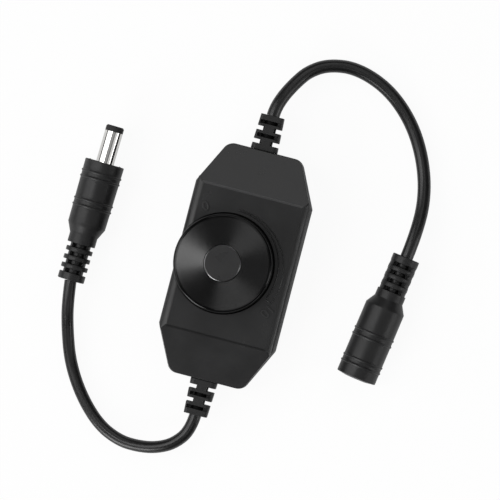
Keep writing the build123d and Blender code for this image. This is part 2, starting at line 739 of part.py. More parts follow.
def power_transistor_body():
    """Moulded body of the switching transistor, lying on its tab."""
    x, y = TRANSISTOR_XY
    low, high = BOARD_TOP + TRANSISTOR_TAB, BOARD_TOP + TRANSISTOR_HEIGHT
    half_w, half_l = TRANSISTOR_WIDTH / 2, TRANSISTOR_LENGTH / 2
    body = solid_box((x - half_w, y - half_l, low), (x + half_w, y + half_l, high))
    return chamfer(body.edges().group_by(Axis.Z)[-1], TRANSISTOR_TAB / 2)


def power_transistor_tab():
    """Soldered tab under the body and the two outer legs."""
    x, y = TRANSISTOR_XY
    half_w, half_l = TRANSISTOR_WIDTH / 2, TRANSISTOR_LENGTH / 2
    top = BOARD_TOP + TRANSISTOR_TAB
    metal = solid_box(
        (x - half_w + TRANSISTOR_TAB, y - half_l + TRANSISTOR_TAB, BOARD_TOP),
        (x + half_w - TRANSISTOR_TAB, y + half_l + TRANSISTOR_TAB_REACH, top),
    )
    near, far = y - half_l + 2 * TRANSISTOR_TAB, y - half_l - TRANSISTOR_LEG_REACH
    half_leg = TRANSISTOR_LEG_WIDTH / 2
    for leg_x in (x - TRANSISTOR_LEG_PITCH / 2, x + TRANSISTOR_LEG_PITCH / 2):
        metal += solid_box((leg_x - half_leg, far, BOARD_TOP), (leg_x + half_leg, near, top))
    return metal


def timer_chip():
    """Small moulded chip."""
    body = Pos(0, 0, CHIP_STAND_OFF) * block_on_board(CHIP_XY, CHIP_BODY)
    return chamfer(body.edges().group_by(Axis.Z)[-1], CHIP_LEG_SHEET)


def gull_wing():
    """One leg: out of the body, down, and flat on the board."""
    half, sheet = CHIP_LEG_WIDTH / 2, CHIP_LEG_SHEET
    knee = CHIP_LEG_REACH / 2
    shoulder = BOARD_TOP + CHIP_LEG_HEIGHT
    leg = solid_box((0, -half, shoulder), (knee, half, shoulder + sheet))
    leg += solid_box((knee - sheet, -half, BOARD_TOP), (knee, half, shoulder))
    return leg + solid_box((knee, -half, BOARD_TOP), (CHIP_LEG_REACH, half, BOARD_TOP + sheet))


def timer_chip_legs():
    """Two rows of legs, one at each side of the chip."""
    x, y = CHIP_XY
    half = CHIP_BODY[0] / 2
    row = (CHIP_LEGS_PER_SIDE - 1) * CHIP_LEG_PITCH
    ys = [y - row / 2 + number * CHIP_LEG_PITCH for number in range(CHIP_LEGS_PER_SIDE)]
    right = [Pos(x + half, leg_y) * gull_wing() for leg_y in ys]
    left = [Pos(x - half, leg_y) * Rot(0, 0, FULL_TURN / 2) * gull_wing() for leg_y in ys]
    return Compound(right + left)


def block_on_board(place, size):
    """A small moulded or fired block that stands on the board."""
    width, length, height = size
    return Pos(*place, BOARD_TOP + height / 2) * Box(width, length, height)


def guard_diode():
    """Moulded diode across the output."""
    body = block_on_board(DIODE_XY, DIODE_BODY)
    return chamfer(body.edges().group_by(Axis.Z)[-1], CHIP_LEG_SHEET)


def chip_resistors():
    """Three chip resistors."""
    return Compound([block_on_board(place, CHIP_PART) for place in RESISTOR_XYS])


def chip_capacitors():
    """Two ceramic chip capacitors."""
    size = (CHIP_PART[0], CHIP_PART[1], CERAMIC_HEIGHT)
    return Compound([block_on_board(place, size) for place in SMALL_CAPACITOR_XYS])


def grip_frame(route, length):
    """Local frame of a grip: origin at its front face, Z out of it, in line with the lead's last run."""
    end, before = Vector(*route[-1]), Vector(*route[-2])
    out = (end - before).normalized()
    return Plane(origin=end + out * length, x_dir=(out.Y, -out.X, 0), z_dir=out)


def grip_body(front_r, back_r, body, cone, neck_r, neck, dome=0.0):
    """Turned outline of a moulded grip with its raised rings, from the front face back to the neck."""
    points = [(0, 0), (front_r / 2, 0), (front_r, -dome)]
    for place in RING_PLACES:
        at = front_r + (back_r - front_r) * place / body
        middle = -dome - place
        half = RING_WIDTH / 2
        points += [(at, middle + half), (at + RING_PROUD, middle + half / 2)]
        points += [(at + RING_PROUD, middle - half / 2), (at, middle - half)]
    end = -body - cone - neck
    points += [(back_r, -body), (neck_r, -body - cone), (neck_r, end), (0, end)]
    grip = lathe(points)
    rim = grip.edges().filter_by(lambda edge: abs(edge.center().Z + dome) < SEAT_GAP)
    return fillet(rim.sort_by(SortBy.RADIUS)[-1], radius=GRIP_EDGE_R)


def ribbed_tail(start, rib_r, cheek_x, cheek_r):
    """Flexible tail behind a neck: ribs, and in each gap a core between two webbed side cheeks."""
    cheeks = Circle(cheek_r) - Rectangle(2 * cheek_x, 4 * cheek_r)
    kept = Circle(TAIL_CORE_R) + Rectangle(2 * (cheek_x + SEAT_GAP), TAIL_WEB) + cheeks
    end = start - GAP_COUNT * GAP_LENGTH - (GAP_COUNT - 1) * RIB_LENGTH
    tail = rod(rib_r, end - COLLAR_LENGTH, start)
    for number in range(GAP_COUNT):
        high = start - number * (GAP_LENGTH + RIB_LENGTH)
        low = high - GAP_LENGTH
        ring = rod(2 * rib_r, low, high)
        tail -= ring - extrude(Plane.XY.offset(low) * kept, amount=GAP_LENGTH)
    rim = tail.edges().group_by(Axis.Z)[0]
    return fillet(rim, radius=GRIP_EDGE_R)


def plug_grip():
    """Moulded grip of the plug, with a seat for its contacts."""
    grip = grip_body(PLUG_FRONT_R, PLUG_BACK_R, PLUG_BODY, PLUG_CONE, PLUG_NECK_R, PLUG_NECK)
    grip += ribbed_tail(-PLUG_BODY - PLUG_CONE - PLUG_NECK, PLUG_RIB_R, PLUG_CHEEK_X, PLUG_CHEEK_R)
    grip -= rod(SLEEVE_COLLAR_R + THREAD_GAP, -SLEEVE_EMBEDDED, 0)
    grip -= rod(INNER_CONTACT_R + THREAD_GAP, -CONTACT_EMBEDDED, 0)
    return grip_frame(INPUT_ROUTE, PLUG_LENGTH) * grip


def plug_sleeve():
    """Bright outer contact, with the wider collar that the grip holds."""
    sleeve = tube(SLEEVE_R, SLEEVE_BORE_R, 0, SLEEVE_LENGTH)
    sleeve += tube(SLEEVE_COLLAR_R, SLEEVE_BORE_R, -SLEEVE_EMBEDDED, 0)
    return grip_frame(INPUT_ROUTE, PLUG_LENGTH) * sleeve


def plug_insulator():
    """Liner between the contacts, ending in the black tip ring."""
    tip = SLEEVE_LENGTH + TIP_RING_LENGTH
    liner = rod(SLEEVE_BORE_R - THREAD_GAP, -SLEEVE_EMBEDDED, tip)
    ring = rod(SLEEVE_R, SLEEVE_LENGTH, tip)
    ring = chamfer(ring.edges().group_by(Axis.Z)[-1], TIP_CHAMFER)
    body = (liner & rod(SLEEVE_R, -SLEEVE_EMBEDDED, SLEEVE_LENGTH)) + ring
    return grip_frame(INPUT_ROUTE, PLUG_LENGTH) * (body - rod(LINER_BORE_R, -SLEEVE_EMBEDDED, tip))


def plug_inner_contact():
    """Tube that takes the socket's centre pin."""
    tip = SLEEVE_LENGTH + TIP_RING_LENGTH - INNER_CONTACT_SET_BACK
    contact = rod(INNER_CONTACT_R, -CONTACT_EMBEDDED, tip)
    contact -= rod(INNER_CONTACT_BORE_R, tip - CONTACT_BORE_DEPTH, tip)
    return grip_frame(INPUT_ROUTE, PLUG_LENGTH) * contact


def jack_grip():
    """Moulded grip of the socket, with its mouth and a seat for the insert."""
    grip = grip_body(JACK_R, JACK_R, JACK_BODY, JACK_CONE, JACK_NECK_R, JACK_NECK, dome=JACK_DOME)
    grip += ribbed_tail(-JACK_BODY - JACK_CONE - JACK_NECK, JACK_RIB_R, JACK_CHEEK_X, JACK_CHEEK_R)
    grip -= rod(JACK_MOUTH_R, -JACK_MOUTH_DEPTH, 0)
    grip -= rod(INSERT_R + THREAD_GAP, -JACK_MOUTH_DEPTH - INSERT_LENGTH, -JACK_MOUTH_DEPTH)
    return grip_frame(OUTPUT_ROUTE, JACK_LENGTH) * grip


def spring_space(gap=0.0):
    """The side spring's strip beside the socket's bore, or with a gap its slot."""
    inner = INSERT_BORE_R - SPRING_PROUD
    half = SPRING_WIDTH / 2 + gap
    top = -JACK_MOUTH_DEPTH - 2 * SPRING_SHEET
    return solid_box((inner, -half, top - SPRING_LENGTH - gap), (inner + SPRING_SHEET + gap, half, top + gap))


def jack_insert():
    """Insulating body with the bore that takes a plug."""
    top = -JACK_MOUTH_DEPTH
    insert = rod(INSERT_R, top - INSERT_LENGTH, top)
    insert -= rod(INSERT_BORE_R, top - INSERT_BORE_DEPTH, top)
    insert -= rod(JACK_PIN_SEAT_R + THREAD_GAP, top - INSERT_LENGTH, top)
    insert -= rod(JACK_PIN_HEAD_R + THREAD_GAP, top - INSERT_LENGTH, top - INSERT_LENGTH + JACK_PIN_HEAD)
    insert -= spring_space(gap=SEAT_GAP)
    return grip_frame(OUTPUT_ROUTE, JACK_LENGTH) * insert


def jack_pin():
    """Centre pin with a rounded tip, a thicker seat in the insert, and a head behind it."""
    tip = -JACK_MOUTH_DEPTH - JACK_PIN_SET_BACK
    back = -JACK_MOUTH_DEPTH - INSERT_LENGTH
    pin = rod(JACK_PIN_R, back, tip)
    pin = fillet(pin.edges().group_by(Axis.Z)[-1], radius=JACK_PIN_R / 2)
    pin += rod(JACK_PIN_SEAT_R, back, -JACK_MOUTH_DEPTH - INSERT_BORE_DEPTH)
    pin += rod(JACK_PIN_HEAD_R, back, back + JACK_PIN_HEAD)
    return grip_frame(OUTPUT_ROUTE, JACK_LENGTH) * pin


def jack_spring():
    """Side spring contact."""
    return grip_frame(OUTPUT_ROUTE, JACK_LENGTH) * spring_space()


def build():
    """Every node by its name."""
    return {
        "upper_shell": upper_shell(),
        "lower_shell": lower_shell(),
        "shell_screws": shell_screws(),
        "input_relief": relief(-1, INPUT_CORD_R),
        "output_relief": relief(1, OUTPUT_CORD_R),
        "input_cord_end": cord_end(-1, INPUT_CORD_R),
        "output_cord_end": cord_end(1, OUTPUT_CORD_R),
        "input_wires": wires(-1),
        "output_wires": wires(1),
        "input_cord": lead("input_cord", INPUT_ROUTE, INPUT_CORD_R),
        "output_cord": lead("output_cord", OUTPUT_ROUTE, OUTPUT_CORD_R),
        "knob": knob(),
        "knob_cap": knob_cap(),
        "pot_shaft": pot_shaft(),
        "shaft_clip": shaft_clip(),
        "pot_rotor": pot_rotor(),
        "pot_wiper": pot_wiper(),
        "pot_neck": pot_neck(),
        "pot_can": pot_can(),
        "pot_track": pot_track(),
        "pot_pins": pot_pins(),
        "switch_case": switch_case(),
        "switch_pins": switch_pins(),
        "circuit_board": circuit_board(),
        "smoothing_capacitor": smoothing_capacitor(),
        "capacitor_leads": capacitor_leads(),
        "power_transistor_body": power_transistor_body(),
        "power_transistor_tab": power_transistor_tab(),
        "timer_chip": timer_chip(),
        "timer_chip_legs": timer_chip_legs(),
        "guard_diode": guard_diode(),
        "chip_resistors": chip_resistors(),
        "chip_capacitors": chip_capacitors(),
        "plug_grip": plug_grip(),
        "plug_sleeve": plug_sleeve(),
        "plug_insulator": plug_insulator(),
        "plug_inner_contact": plug_inner_contact(),
        "jack_grip": jack_grip(),
        "jack_insert": jack_insert(),
        "jack_pin": jack_pin(),
        "jack_spring": jack_spring(),
    }


def main():
    """Writes one STEP file for each node."""
    os.makedirs("parts", exist_ok=True)
    for name, shape in build().items():
        export_step(shape, f"parts/{name}.step")


main()
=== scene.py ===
"""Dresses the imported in-line rotary dimmer: finishes, signs on its face, leads, camera and studio.

Frame: +Z up out of the knob's face, +Y along the box towards the socket's lead, origin at the centre of
the box's underside. All lengths are metres, most of them written as a count of millimetres.
"""

import json
import logging
import math
from collections.abc import Sequence
from dataclasses import dataclass
from enum import Enum

import bpy
from bpy.types import Material, MeshPolygon, Node, NodeSocket, NodeTree, Object
from mathutils import Matrix, Vector
from mathutils.bvhtree import BVHTree

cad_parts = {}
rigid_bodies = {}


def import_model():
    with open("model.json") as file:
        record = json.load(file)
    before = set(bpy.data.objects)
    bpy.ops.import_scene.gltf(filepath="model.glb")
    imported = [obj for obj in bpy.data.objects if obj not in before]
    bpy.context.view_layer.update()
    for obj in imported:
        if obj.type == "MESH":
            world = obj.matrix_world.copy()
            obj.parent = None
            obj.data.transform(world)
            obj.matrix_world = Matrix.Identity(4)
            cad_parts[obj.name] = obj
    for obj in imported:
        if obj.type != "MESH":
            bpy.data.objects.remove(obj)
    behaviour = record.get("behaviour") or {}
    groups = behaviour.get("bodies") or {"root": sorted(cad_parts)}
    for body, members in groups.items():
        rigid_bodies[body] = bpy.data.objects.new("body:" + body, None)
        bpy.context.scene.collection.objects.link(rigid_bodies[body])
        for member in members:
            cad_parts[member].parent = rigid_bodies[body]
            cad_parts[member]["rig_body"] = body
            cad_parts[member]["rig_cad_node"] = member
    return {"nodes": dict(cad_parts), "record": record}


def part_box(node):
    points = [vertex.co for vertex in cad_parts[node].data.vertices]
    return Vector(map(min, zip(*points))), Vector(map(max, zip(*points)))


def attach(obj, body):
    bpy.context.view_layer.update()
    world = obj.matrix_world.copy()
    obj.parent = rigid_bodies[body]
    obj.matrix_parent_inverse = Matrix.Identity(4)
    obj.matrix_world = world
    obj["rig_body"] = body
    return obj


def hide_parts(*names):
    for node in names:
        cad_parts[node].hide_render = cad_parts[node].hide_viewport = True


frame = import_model()

MM = 0.001
FULL_TURN = 2 * math.pi
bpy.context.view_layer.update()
BOX_TOP = 19.0 * MM
KNOB_AXIS = (-3.3 * MM, 0.0)
TO_AXIS = Matrix.Translation((*KNOB_AXIS, 0))

log = logging.getLogger("dimmer")


class Body(Enum):
    """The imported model's two bodies."""

    BOX = "box"
    KNOB = "knob"


class Join(Enum):
    """What a Boolean step does with its tool."""

    ADD = "UNION"
    CUT = "DIFFERENCE"


class Course(Enum):
    """How a thread follows its points."""

    STRAIGHT = "POLY"
    SMOOTH = "NURBS"


# Modelling bench


class Bench:
    """Modelling steps with Blender's operators.

    Turned and copied pieces merge points that are closer than their weld. The rounding of a copy has
    edge_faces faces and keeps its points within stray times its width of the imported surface. Angles are
    degrees.
    """

    turned_weld = 0.001 * MM
    copied_weld = 0.002 * MM
    flat_angle = 0.2
    edge_faces = 2
    stray = 1.5
    shade_margin = 10.0

    @staticmethod
    def clear() -> None:
        """Deselects every object, so that an operator acts on the new piece only."""
        bpy.ops.object.select_all(action="DESELECT")
        bpy.context.view_layer.objects.active = None

    @staticmethod
    def focus(piece: Object) -> None:
        """Makes one piece the only selected and the active object.

        Args:
            piece: The object that the next operators act on.
        """
        Bench.clear()
        piece.select_set(True)
        bpy.context.view_layer.objects.active = piece

    @staticmethod
    def named(name: str) -> Object:
        """Names the active object and its mesh.

        Args:
            name: The piece's name.

        Returns:
            The object.
        """
        piece = bpy.context.view_layer.objects.active
        piece.name = name
        piece.data.name = name
        return piece

    @staticmethod
    def apply_modifiers(piece: Object) -> None:
        """Applies every modifier of a piece, in order.

        Args:
            piece: The piece.
        """
        Bench.focus(piece)
        for modifier in list(piece.modifiers):
            bpy.ops.object.modifier_apply(modifier=modifier.name)

    @staticmethod
    def smooth(piece: Object, angle: float = 30.0) -> None:
        """Shades a piece smooth, with edges above an angle in degrees kept sharp."""
        Bench.focus(piece)
        bpy.ops.object.shade_smooth_by_angle(angle=math.radians(angle))

    @staticmethod
    def level(piece: Object, angle: float = 38.0) -> None:
        """Shades a piece smooth, with its large faces kept flat.

        Args:
            piece: The piece.
            angle: Edges that turn more than this, in degrees, stay sharp.
        """
        Bench.smooth(piece, angle)
        weighted = piece.modifiers.new("flat faces", "WEIGHTED_NORMAL")
        weighted.keep_sharp = True
        Bench.apply_modifiers(piece)

    @staticmethod
    def join(piece: Object, tool: Object, how: Join) -> None:
        """Adds a tool to a piece or cuts it out, and uses the tool up.

        Args:
            piece: The piece that stays.
            tool: The piece that goes.
            how: Whether it is added or cut out.
        """
        step = piece.modifiers.new("join", "BOOLEAN")
        step.operation = how.value
        step.solver = "EXACT"
        step.object = tool
        Bench.apply_modifiers(piece)
        bpy.data.objects.remove(tool, do_unlink=True)

    @staticmethod
    def thread(
        name: str, course: Course, points: Sequence[Sequence[float]], radius: float, rounding: int
    ) -> Object:
        """Adds a round thread along a row of points.

        Args:
            name: The piece's name.
            course: How it follows the points.
            points: The points, in metres.
            radius: The thread's radius.
            rounding: How finely its section is rounded.

        Returns:
            The piece, a curve with one spline.
        """
        data = bpy.data.curves.new(name, "CURVE")
        data.dimensions = "3D"
        spline = data.splines.new(course.value)
        spline.points.add(len(points) - 1)
        for point, place in zip(spline.points, points):
            point.co = (*place, 1.0)
        data.bevel_depth = radius
        data.bevel_resolution = rounding
        piece = bpy.data.objects.new(name, data)
        bpy.context.scene.collection.objects.link(piece)
        return piece

    @staticmethod
    def spin(name: str, profile: Sequence[tuple[float, float]], steps: int) -> Object:
        """Turns a profile about the world's Z axis, as on a lathe.

        Args:
            name: The piece's name.
            profile: Radius and height pairs in metres, from one end of the outline to the other.
            steps: How many steps the full turn has.

        Returns:
            The turned piece, with its doubles merged and its faces outwards.
        """
        Bench.clear()
        bpy.ops.mesh.primitive_plane_add(size=MM)
        piece = Bench.named(name)
        bpy.ops.object.mode_set(mode="EDIT")
        bpy.ops.mesh.select_all(action="SELECT")
        bpy.ops.mesh.merge(type="CENTER")
        start = Vector((profile[0][0], 0, profile[0][1]))
        bpy.ops.transform.translate(value=start)
        for (r0, z0), (r1, z1) in zip(profile, profile[1:]):
            bpy.ops.mesh.extrude_region_move(TRANSFORM_OT_translate={"value": (r1 - r0, 0, z1 - z0)})
        bpy.ops.mesh.select_all(action="SELECT")
        bpy.ops.mesh.spin(steps=steps, angle=FULL_TURN, center=(0, 0, 0), axis=(0, 0, 1))
        bpy.ops.mesh.select_all(action="SELECT")
        bpy.ops.mesh.remove_doubles(threshold=Bench.turned_weld)
        bpy.ops.mesh.normals_make_consistent(inside=False)
        bpy.ops.object.mode_set(mode="OBJECT")
        return piece

    @staticmethod
    def settle(piece: Object, place: Matrix) -> None:
        """Moves a piece's mesh to its place and leaves the object at the origin.

        Args:
            piece: The piece.
            place: Where its mesh goes, from where it was modelled.
        """
        piece.data.transform(place @ piece.matrix_world)
        piece.matrix_world = Matrix.Identity(4)
        piece.data.update()

    @staticmethod
    def pull_in(piece: Object, source: Object, limit: float) -> None:
        """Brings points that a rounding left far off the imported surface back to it.

        Args:
            piece: The rounded copy.
            source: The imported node.
            limit: Points farther off than this, in metres, are brought back.
        """
        surface = BVHTree.FromPolygons(
            [point.co for point in source.data.vertices], [face.vertices[:] for face in source.data.polygons]
        )
        for point in piece.data.vertices:
            nearest, _, _, distance = surface.find_nearest(point.co)
            if distance > limit:
                point.co = nearest

    @staticmethod
    def merged_copy(node: str, name: str, edge: float, angle: float = 28.0) -> Object:
        """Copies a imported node, merges its loose triangles and rounds its sharp edges.

        Args:
            node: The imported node's name.
            name: The new piece's name.
            edge: Width of the rounding on sharp edges, in metres.
            angle: Edges that turn more than this, in degrees, are rounded.

        Returns:
            The new piece, which stands for the node.
        """
        source = frame["nodes"][node]
        Bench.focus(source)
        bpy.ops.object.duplicate()
        piece = Bench.named(name)
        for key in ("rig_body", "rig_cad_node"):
            if key in piece:
                del piece[key]
        piece.parent = None
        bpy.ops.object.mode_set(mode="EDIT")
        bpy.ops.mesh.select_mode(type="VERT")
        bpy.ops.mesh.customdata_custom_splitnormals_clear()
        bpy.ops.mesh.select_all(action="SELECT")
        bpy.ops.mesh.remove_doubles(threshold=Bench.copied_weld)
        bpy.ops.mesh.dissolve_limited(angle_limit=math.radians(Bench.flat_angle))
        bpy.ops.object.mode_set(mode="OBJECT")
        rounding = piece.modifiers.new("rounding", "BEVEL")
        rounding.width = edge
        rounding.segments = Bench.edge_faces
        rounding.limit_method = "ANGLE"
        rounding.angle_limit = math.radians(angle)
        rounding.use_clamp_overlap = False
        rounding.miter_outer = "MITER_ARC"
        Bench.apply_modifiers(piece)
        Bench.pull_in(piece, source, Bench.stray * edge)
        Bench.level(piece, angle + Bench.shade_margin)
        return piece


# Shader node groups


@dataclass
class Wiring:
    """Short calls for adding and joining shader nodes in one tree."""

    tree: NodeTree

    def add(self, kind: str, *values: object, **settings: object) -> Node:
        """Adds a node, sets its properties and fills its inputs in order.

        Args:
            kind: The node's type name.
            values: Sockets or plain values for its first inputs.
            settings: Properties to set on it.

        Returns:
            The node.
        """
        node = self.tree.nodes.new(kind)
        for key, value in settings.items():
            setattr(node, key, value)
        for value, target in zip(values, node.inputs):
            self.put(value, target)
        return node

    def link(self, source: NodeSocket, target: NodeSocket) -> None:
        """Joins two sockets."""
        self.tree.links.new(source, target)

    def put(self, value: object, target: NodeSocket) -> None:
        """Links a socket, or sets a plain value, on a target socket.

        Args:
            value: A socket, number, triple or colour.
            target: The socket that takes it.
        """
        if isinstance(value, NodeSocket):
            self.link(value, target)
        else:
            target.default_value = value

    def fill(self, node: Node, **values: object) -> Node:
        """Fills a node's inputs by their names.

        Args:
            node: The node.
            values: Sockets or plain values by input name, with _ for a space.

        Returns:
            The node.
        """
        for key, value in values.items():
            self.put(value, node.inputs[key.replace("_", " ")])
        return node

    def math(self, operation: str, *values: object, clamp: bool = False) -> NodeSocket:
        """A Math node's output, which may be kept between 0 and 1."""
        return self.add("ShaderNodeMath", *values, operation=operation, use_clamp=clamp).outputs[0]

    def vector_math(self, operation: str, *values: object, gives: str = "Vector") -> NodeSocket:
        """One output of a Vector Math node."""
        return self.add("ShaderNodeVectorMath", *values, operation=operation).outputs[gives]

    def noise(self, vector: object, scale: object, detail: float = 2.0, rough: float = 0.5) -> NodeSocket:
        """A Noise texture's value, from 0 to 1, with scale waves in a metre."""
        node = self.add("ShaderNodeTexNoise")
        return self.fill(node, Vector=vector, Scale=scale, Detail=detail, Roughness=rough).outputs["Fac"]

    def spread(
        self, value: object, low: float, high: float, to_low: float = 0.0, to_high: float = 1.0
    ) -> NodeSocket:
        """A value mapped from low and high to two others, and kept between them."""
        return self.add("ShaderNodeMapRange", value, low, high, to_low, to_high, clamp=True).outputs[0]

    def mix(self, share: object, first: object, second: object) -> NodeSocket:
        """A mix of two colours, with a share of the second."""
        node = self.add("ShaderNodeMix", data_type="RGBA")
        return self.fill(node, Factor=share, A=first, B=second).outputs["Result"]


@dataclass(frozen=True)
class Socket:
    """One named socket of a node group."""

    name: str
    kind: str = "NodeSocketFloat"
    value: float = 0.0


class Effect:
    """A shader node group, built once and placed in each material with its own values."""

    title = "effect"
    takes: tuple[Socket, ...] = ()
    gives: tuple[Socket, ...] = ()

    def wire(self, wiring: Wiring, into: Node, out: Node) -> None:
        """Builds the inside of the group.

        Args:
            wiring: The group's tree.
            into: Its input node.
            out: Its output node.
        """
        raise NotImplementedError

    def tree(self) -> NodeTree:
        """Makes the group on first use.

        Returns:
            The group's tree.
        """
        known = bpy.data.node_groups.get(self.title)
        if known:
            return known
        tree = bpy.data.node_groups.new(self.title, "ShaderNodeTree")
        for socket in self.takes:
            made = tree.interface.new_socket(socket.name, in_out="INPUT", socket_type=socket.kind)
            if socket.kind == "NodeSocketFloat":
                made.default_value = socket.value
        for socket in self.gives:
            tree.interface.new_socket(socket.name, in_out="OUTPUT", socket_type=socket.kind)
        wiring = Wiring(tree)
        self.wire(wiring, wiring.add("NodeGroupInput"), wiring.add("NodeGroupOutput"))
        return tree

    def place(self, wiring: Wiring, **values: object) -> Node:
        """Places the group in a material's tree, with its values as Wiring.fill takes them."""
        return wiring.fill(wiring.add("ShaderNodeGroup", node_tree=self.tree()), **values)


class MouldGrain(Effect):
    """Fine spark-eroded grain of a mould, with slow waves over it."""

    title = "mould grain"
    takes = (
        Socket("Vector", "NodeSocketVector"),
        Socket("Grain Size", value=0.12),
        Socket("Wave Size", value=9.0),
    )
    gives = (Socket("Height"), Socket("Patches"))
    pit_scale = 0.37
    pit_share = 0.6

    def wire(self, wiring: Wiring, into: Node, out: Node) -> None:
        """Adds two scales of noise for height, and a slow one for colour and gloss.

        Args:
            wiring: The group's tree.
            into: Its input node.
            out: Its output node.
        """
        vector = into.outputs["Vector"]
        fine = wiring.math("DIVIDE", 1 / MM, into.outputs["Grain Size"])
        slow = wiring.math("DIVIDE", 1 / MM, into.outputs["Wave Size"])
        grain = wiring.noise(vector, fine, rough=0.6)
        pits = wiring.noise(vector, wiring.math("MULTIPLY", fine, self.pit_scale), detail=1.0)
        patches = wiring.noise(vector, slow, detail=3.0, rough=0.55)
        height = wiring.math("ADD", grain, wiring.math("MULTIPLY", pits, self.pit_share))
        wiring.link(height, out.inputs["Height"])
        wiring.link(patches, out.inputs["Patches"])


class EdgeWear(Effect):
    """Where a piece's edges are rubbed: 1 on a sharp edge, 0 on a flat."""

    title = "edge wear"
    takes = (
        Socket("Vector", "NodeSocketVector"),
        Socket("Reach", value=0.35),
        Socket("Breaks", value=2.5),
    )
    gives = (Socket("Mask"),)
    samples = 4
    flat_turn = 0.995
    sharp_turn = 0.86

    def wire(self, wiring: Wiring, into: Node, out: Node) -> None:
        """Compares the rounded normal with the true one, broken up by noise.

        Args:
            wiring: The group's tree.
            into: Its input node.
            out: Its output node.
        """
        reach = wiring.math("MULTIPLY", into.outputs["Reach"], MM)
        rounded = wiring.fill(wiring.add("ShaderNodeBevel", samples=self.samples), Radius=reach)
        true = wiring.add("ShaderNodeNewGeometry").outputs["Normal"]
        turn = wiring.vector_math("DOT_PRODUCT", rounded.outputs[0], true, gives="Value")
        edge = wiring.spread(turn, self.flat_turn, self.sharp_turn)
        scale = wiring.math("DIVIDE", 1 / MM, into.outputs["Breaks"])
        waves = wiring.noise(into.outputs["Vector"], scale, detail=4.0, rough=0.6)
        broken = wiring.spread(waves, low=0.42, high=0.6, to_low=0.15)
        wiring.link(wiring.math("MULTIPLY", edge, broken), out.inputs["Mask"])


class TurnedGrooves(Effect):
    """Fine rings left by a lathe tool about an upright axis, as a normal that leans in and out."""

    title = "turned grooves"
    takes = (
        Socket("Vector", "NodeSocketVector"),
        Socket("Pitch", value=0.2),
        Socket("Slope", value=0.1),
    )
    gives = (Socket("Normal", "NodeSocketVector"),)
    drift = 0.61

    def wire(self, wiring: Wiring, into: Node, out: Node) -> None:
        """Adds each ring's slope, outwards from the axis, to the surface's own normal.

        Args:
            wiring: The group's tree.
            into: Its input node.
            out: Its output node.
        """
        flat = wiring.vector_math("MULTIPLY", into.outputs["Vector"], (1, 1, 0))
        outward = wiring.vector_math("NORMALIZE", flat)
        radius = wiring.vector_math("LENGTH", flat, gives="Value")
        rings = wiring.math("DIVIDE", radius, wiring.math("MULTIPLY", into.outputs["Pitch"], MM))
        wave = wiring.math("SINE", wiring.math("MULTIPLY", rings, FULL_TURN))
        line = wiring.add("ShaderNodeCombineXYZ", wiring.math("MULTIPLY", rings, self.drift))
        waves = wiring.noise(line.outputs[0], 1.0)
        uneven = wiring.spread(waves, low=0.3, high=0.7, to_low=0.25)
        slope = wiring.math("MULTIPLY", wiring.math("MULTIPLY", wave, uneven), into.outputs["Slope"])
        lean = wiring.add("ShaderNodeVectorMath", outward, operation="SCALE")
        wiring.fill(lean, Scale=slope)
        spaces = {"vector_type": "VECTOR", "convert_from": "OBJECT", "convert_to": "WORLD"}
        turned = wiring.add("ShaderNodeVectorTransform", lean.outputs["Vector"], **spaces)
        true = wiring.add("ShaderNodeNewGeometry")
        both = wiring.vector_math("ADD", true.outputs["Normal"], turned.outputs[0])
        wiring.link(wiring.vector_math("NORMALIZE", both), out.inputs["Normal"])


# Finishes


@dataclass(frozen=True)
class Finish:
    """A finish with mould grain, slow patches and rubbed edges.

    Colours are linear, sizes are millimetres.
    """

    name: str
    color: tuple[float, float, float]
    roughness: float = 0.45
    roughness_swing: float = 0.06
    metallic: float = 0.0
    specular: float = 0.5
    coat: float = 0.0
    sheen: float = 0.0
    grain_size: float = 0.12
    grain_depth: float = 0.004
    patch_size: float = 9.0
    patch_lift: float = 1.18
    wear: float = 0.0
    wear_reach: float = 0.3
    worn_gain: float = 2.4
    worn_lift: float = 0.012
    worn_polish: float = 0.12

    def form(self, wiring: Wiring, vector: NodeSocket, bump: Node) -> None:
        """Gives the bump a normal to start from, where the finish has one of its own."""

    def material(self) -> Material:
        """Makes the finish's material on first use.

        Returns:
            The material.
        """
        known = bpy.data.materials.get(self.name)
        if known:
            return known
        made = bpy.data.materials.new(self.name)
        made.use_nodes = True
        wiring = Wiring(made.node_tree)
        shader = made.node_tree.nodes["Principled BSDF"]
        vector = wiring.add("ShaderNodeTexCoord").outputs["Object"]
        grain = MouldGrain().place(
            wiring, Vector=vector, Grain_Size=self.grain_size, Wave_Size=self.patch_size
        )
        waves = grain.outputs["Patches"]
        lifted = tuple(min(1.0, part * self.patch_lift) for part in self.color)
        color = wiring.mix(wiring.spread(waves, low=0.32, high=0.68), (*self.color, 1), (*lifted, 1))
        smoothest = self.roughness - self.roughness_swing
        roughest = self.roughness + self.roughness_swing
        rough = wiring.spread(waves, low=0.3, high=0.7, to_low=smoothest, to_high=roughest)
        if self.wear:
            worn = EdgeWear().place(wiring, Vector=vector, Reach=self.wear_reach).outputs["Mask"]
            share = wiring.math("MULTIPLY", worn, self.wear)
            pale = tuple(min(1.0, part * self.worn_gain + self.worn_lift) for part in self.color)
            color = wiring.mix(share, color, (*pale, 1))
            rough = wiring.math("SUBTRACT", rough, wiring.math("MULTIPLY", share, self.worn_polish))
        bump = wiring.add("ShaderNodeBump")
        wiring.fill(bump, Distance=self.grain_depth * MM, Height=grain.outputs["Height"])
        self.form(wiring, vector, bump)
        wiring.fill(shader, Base_Color=color, Roughness=rough, Metallic=self.metallic)
        wiring.fill(shader, Specular_IOR_Level=self.specular, Coat_Weight=self.coat)
        wiring.fill(shader, Sheen_Weight=self.sheen, Normal=bump.outputs[0])
        return made


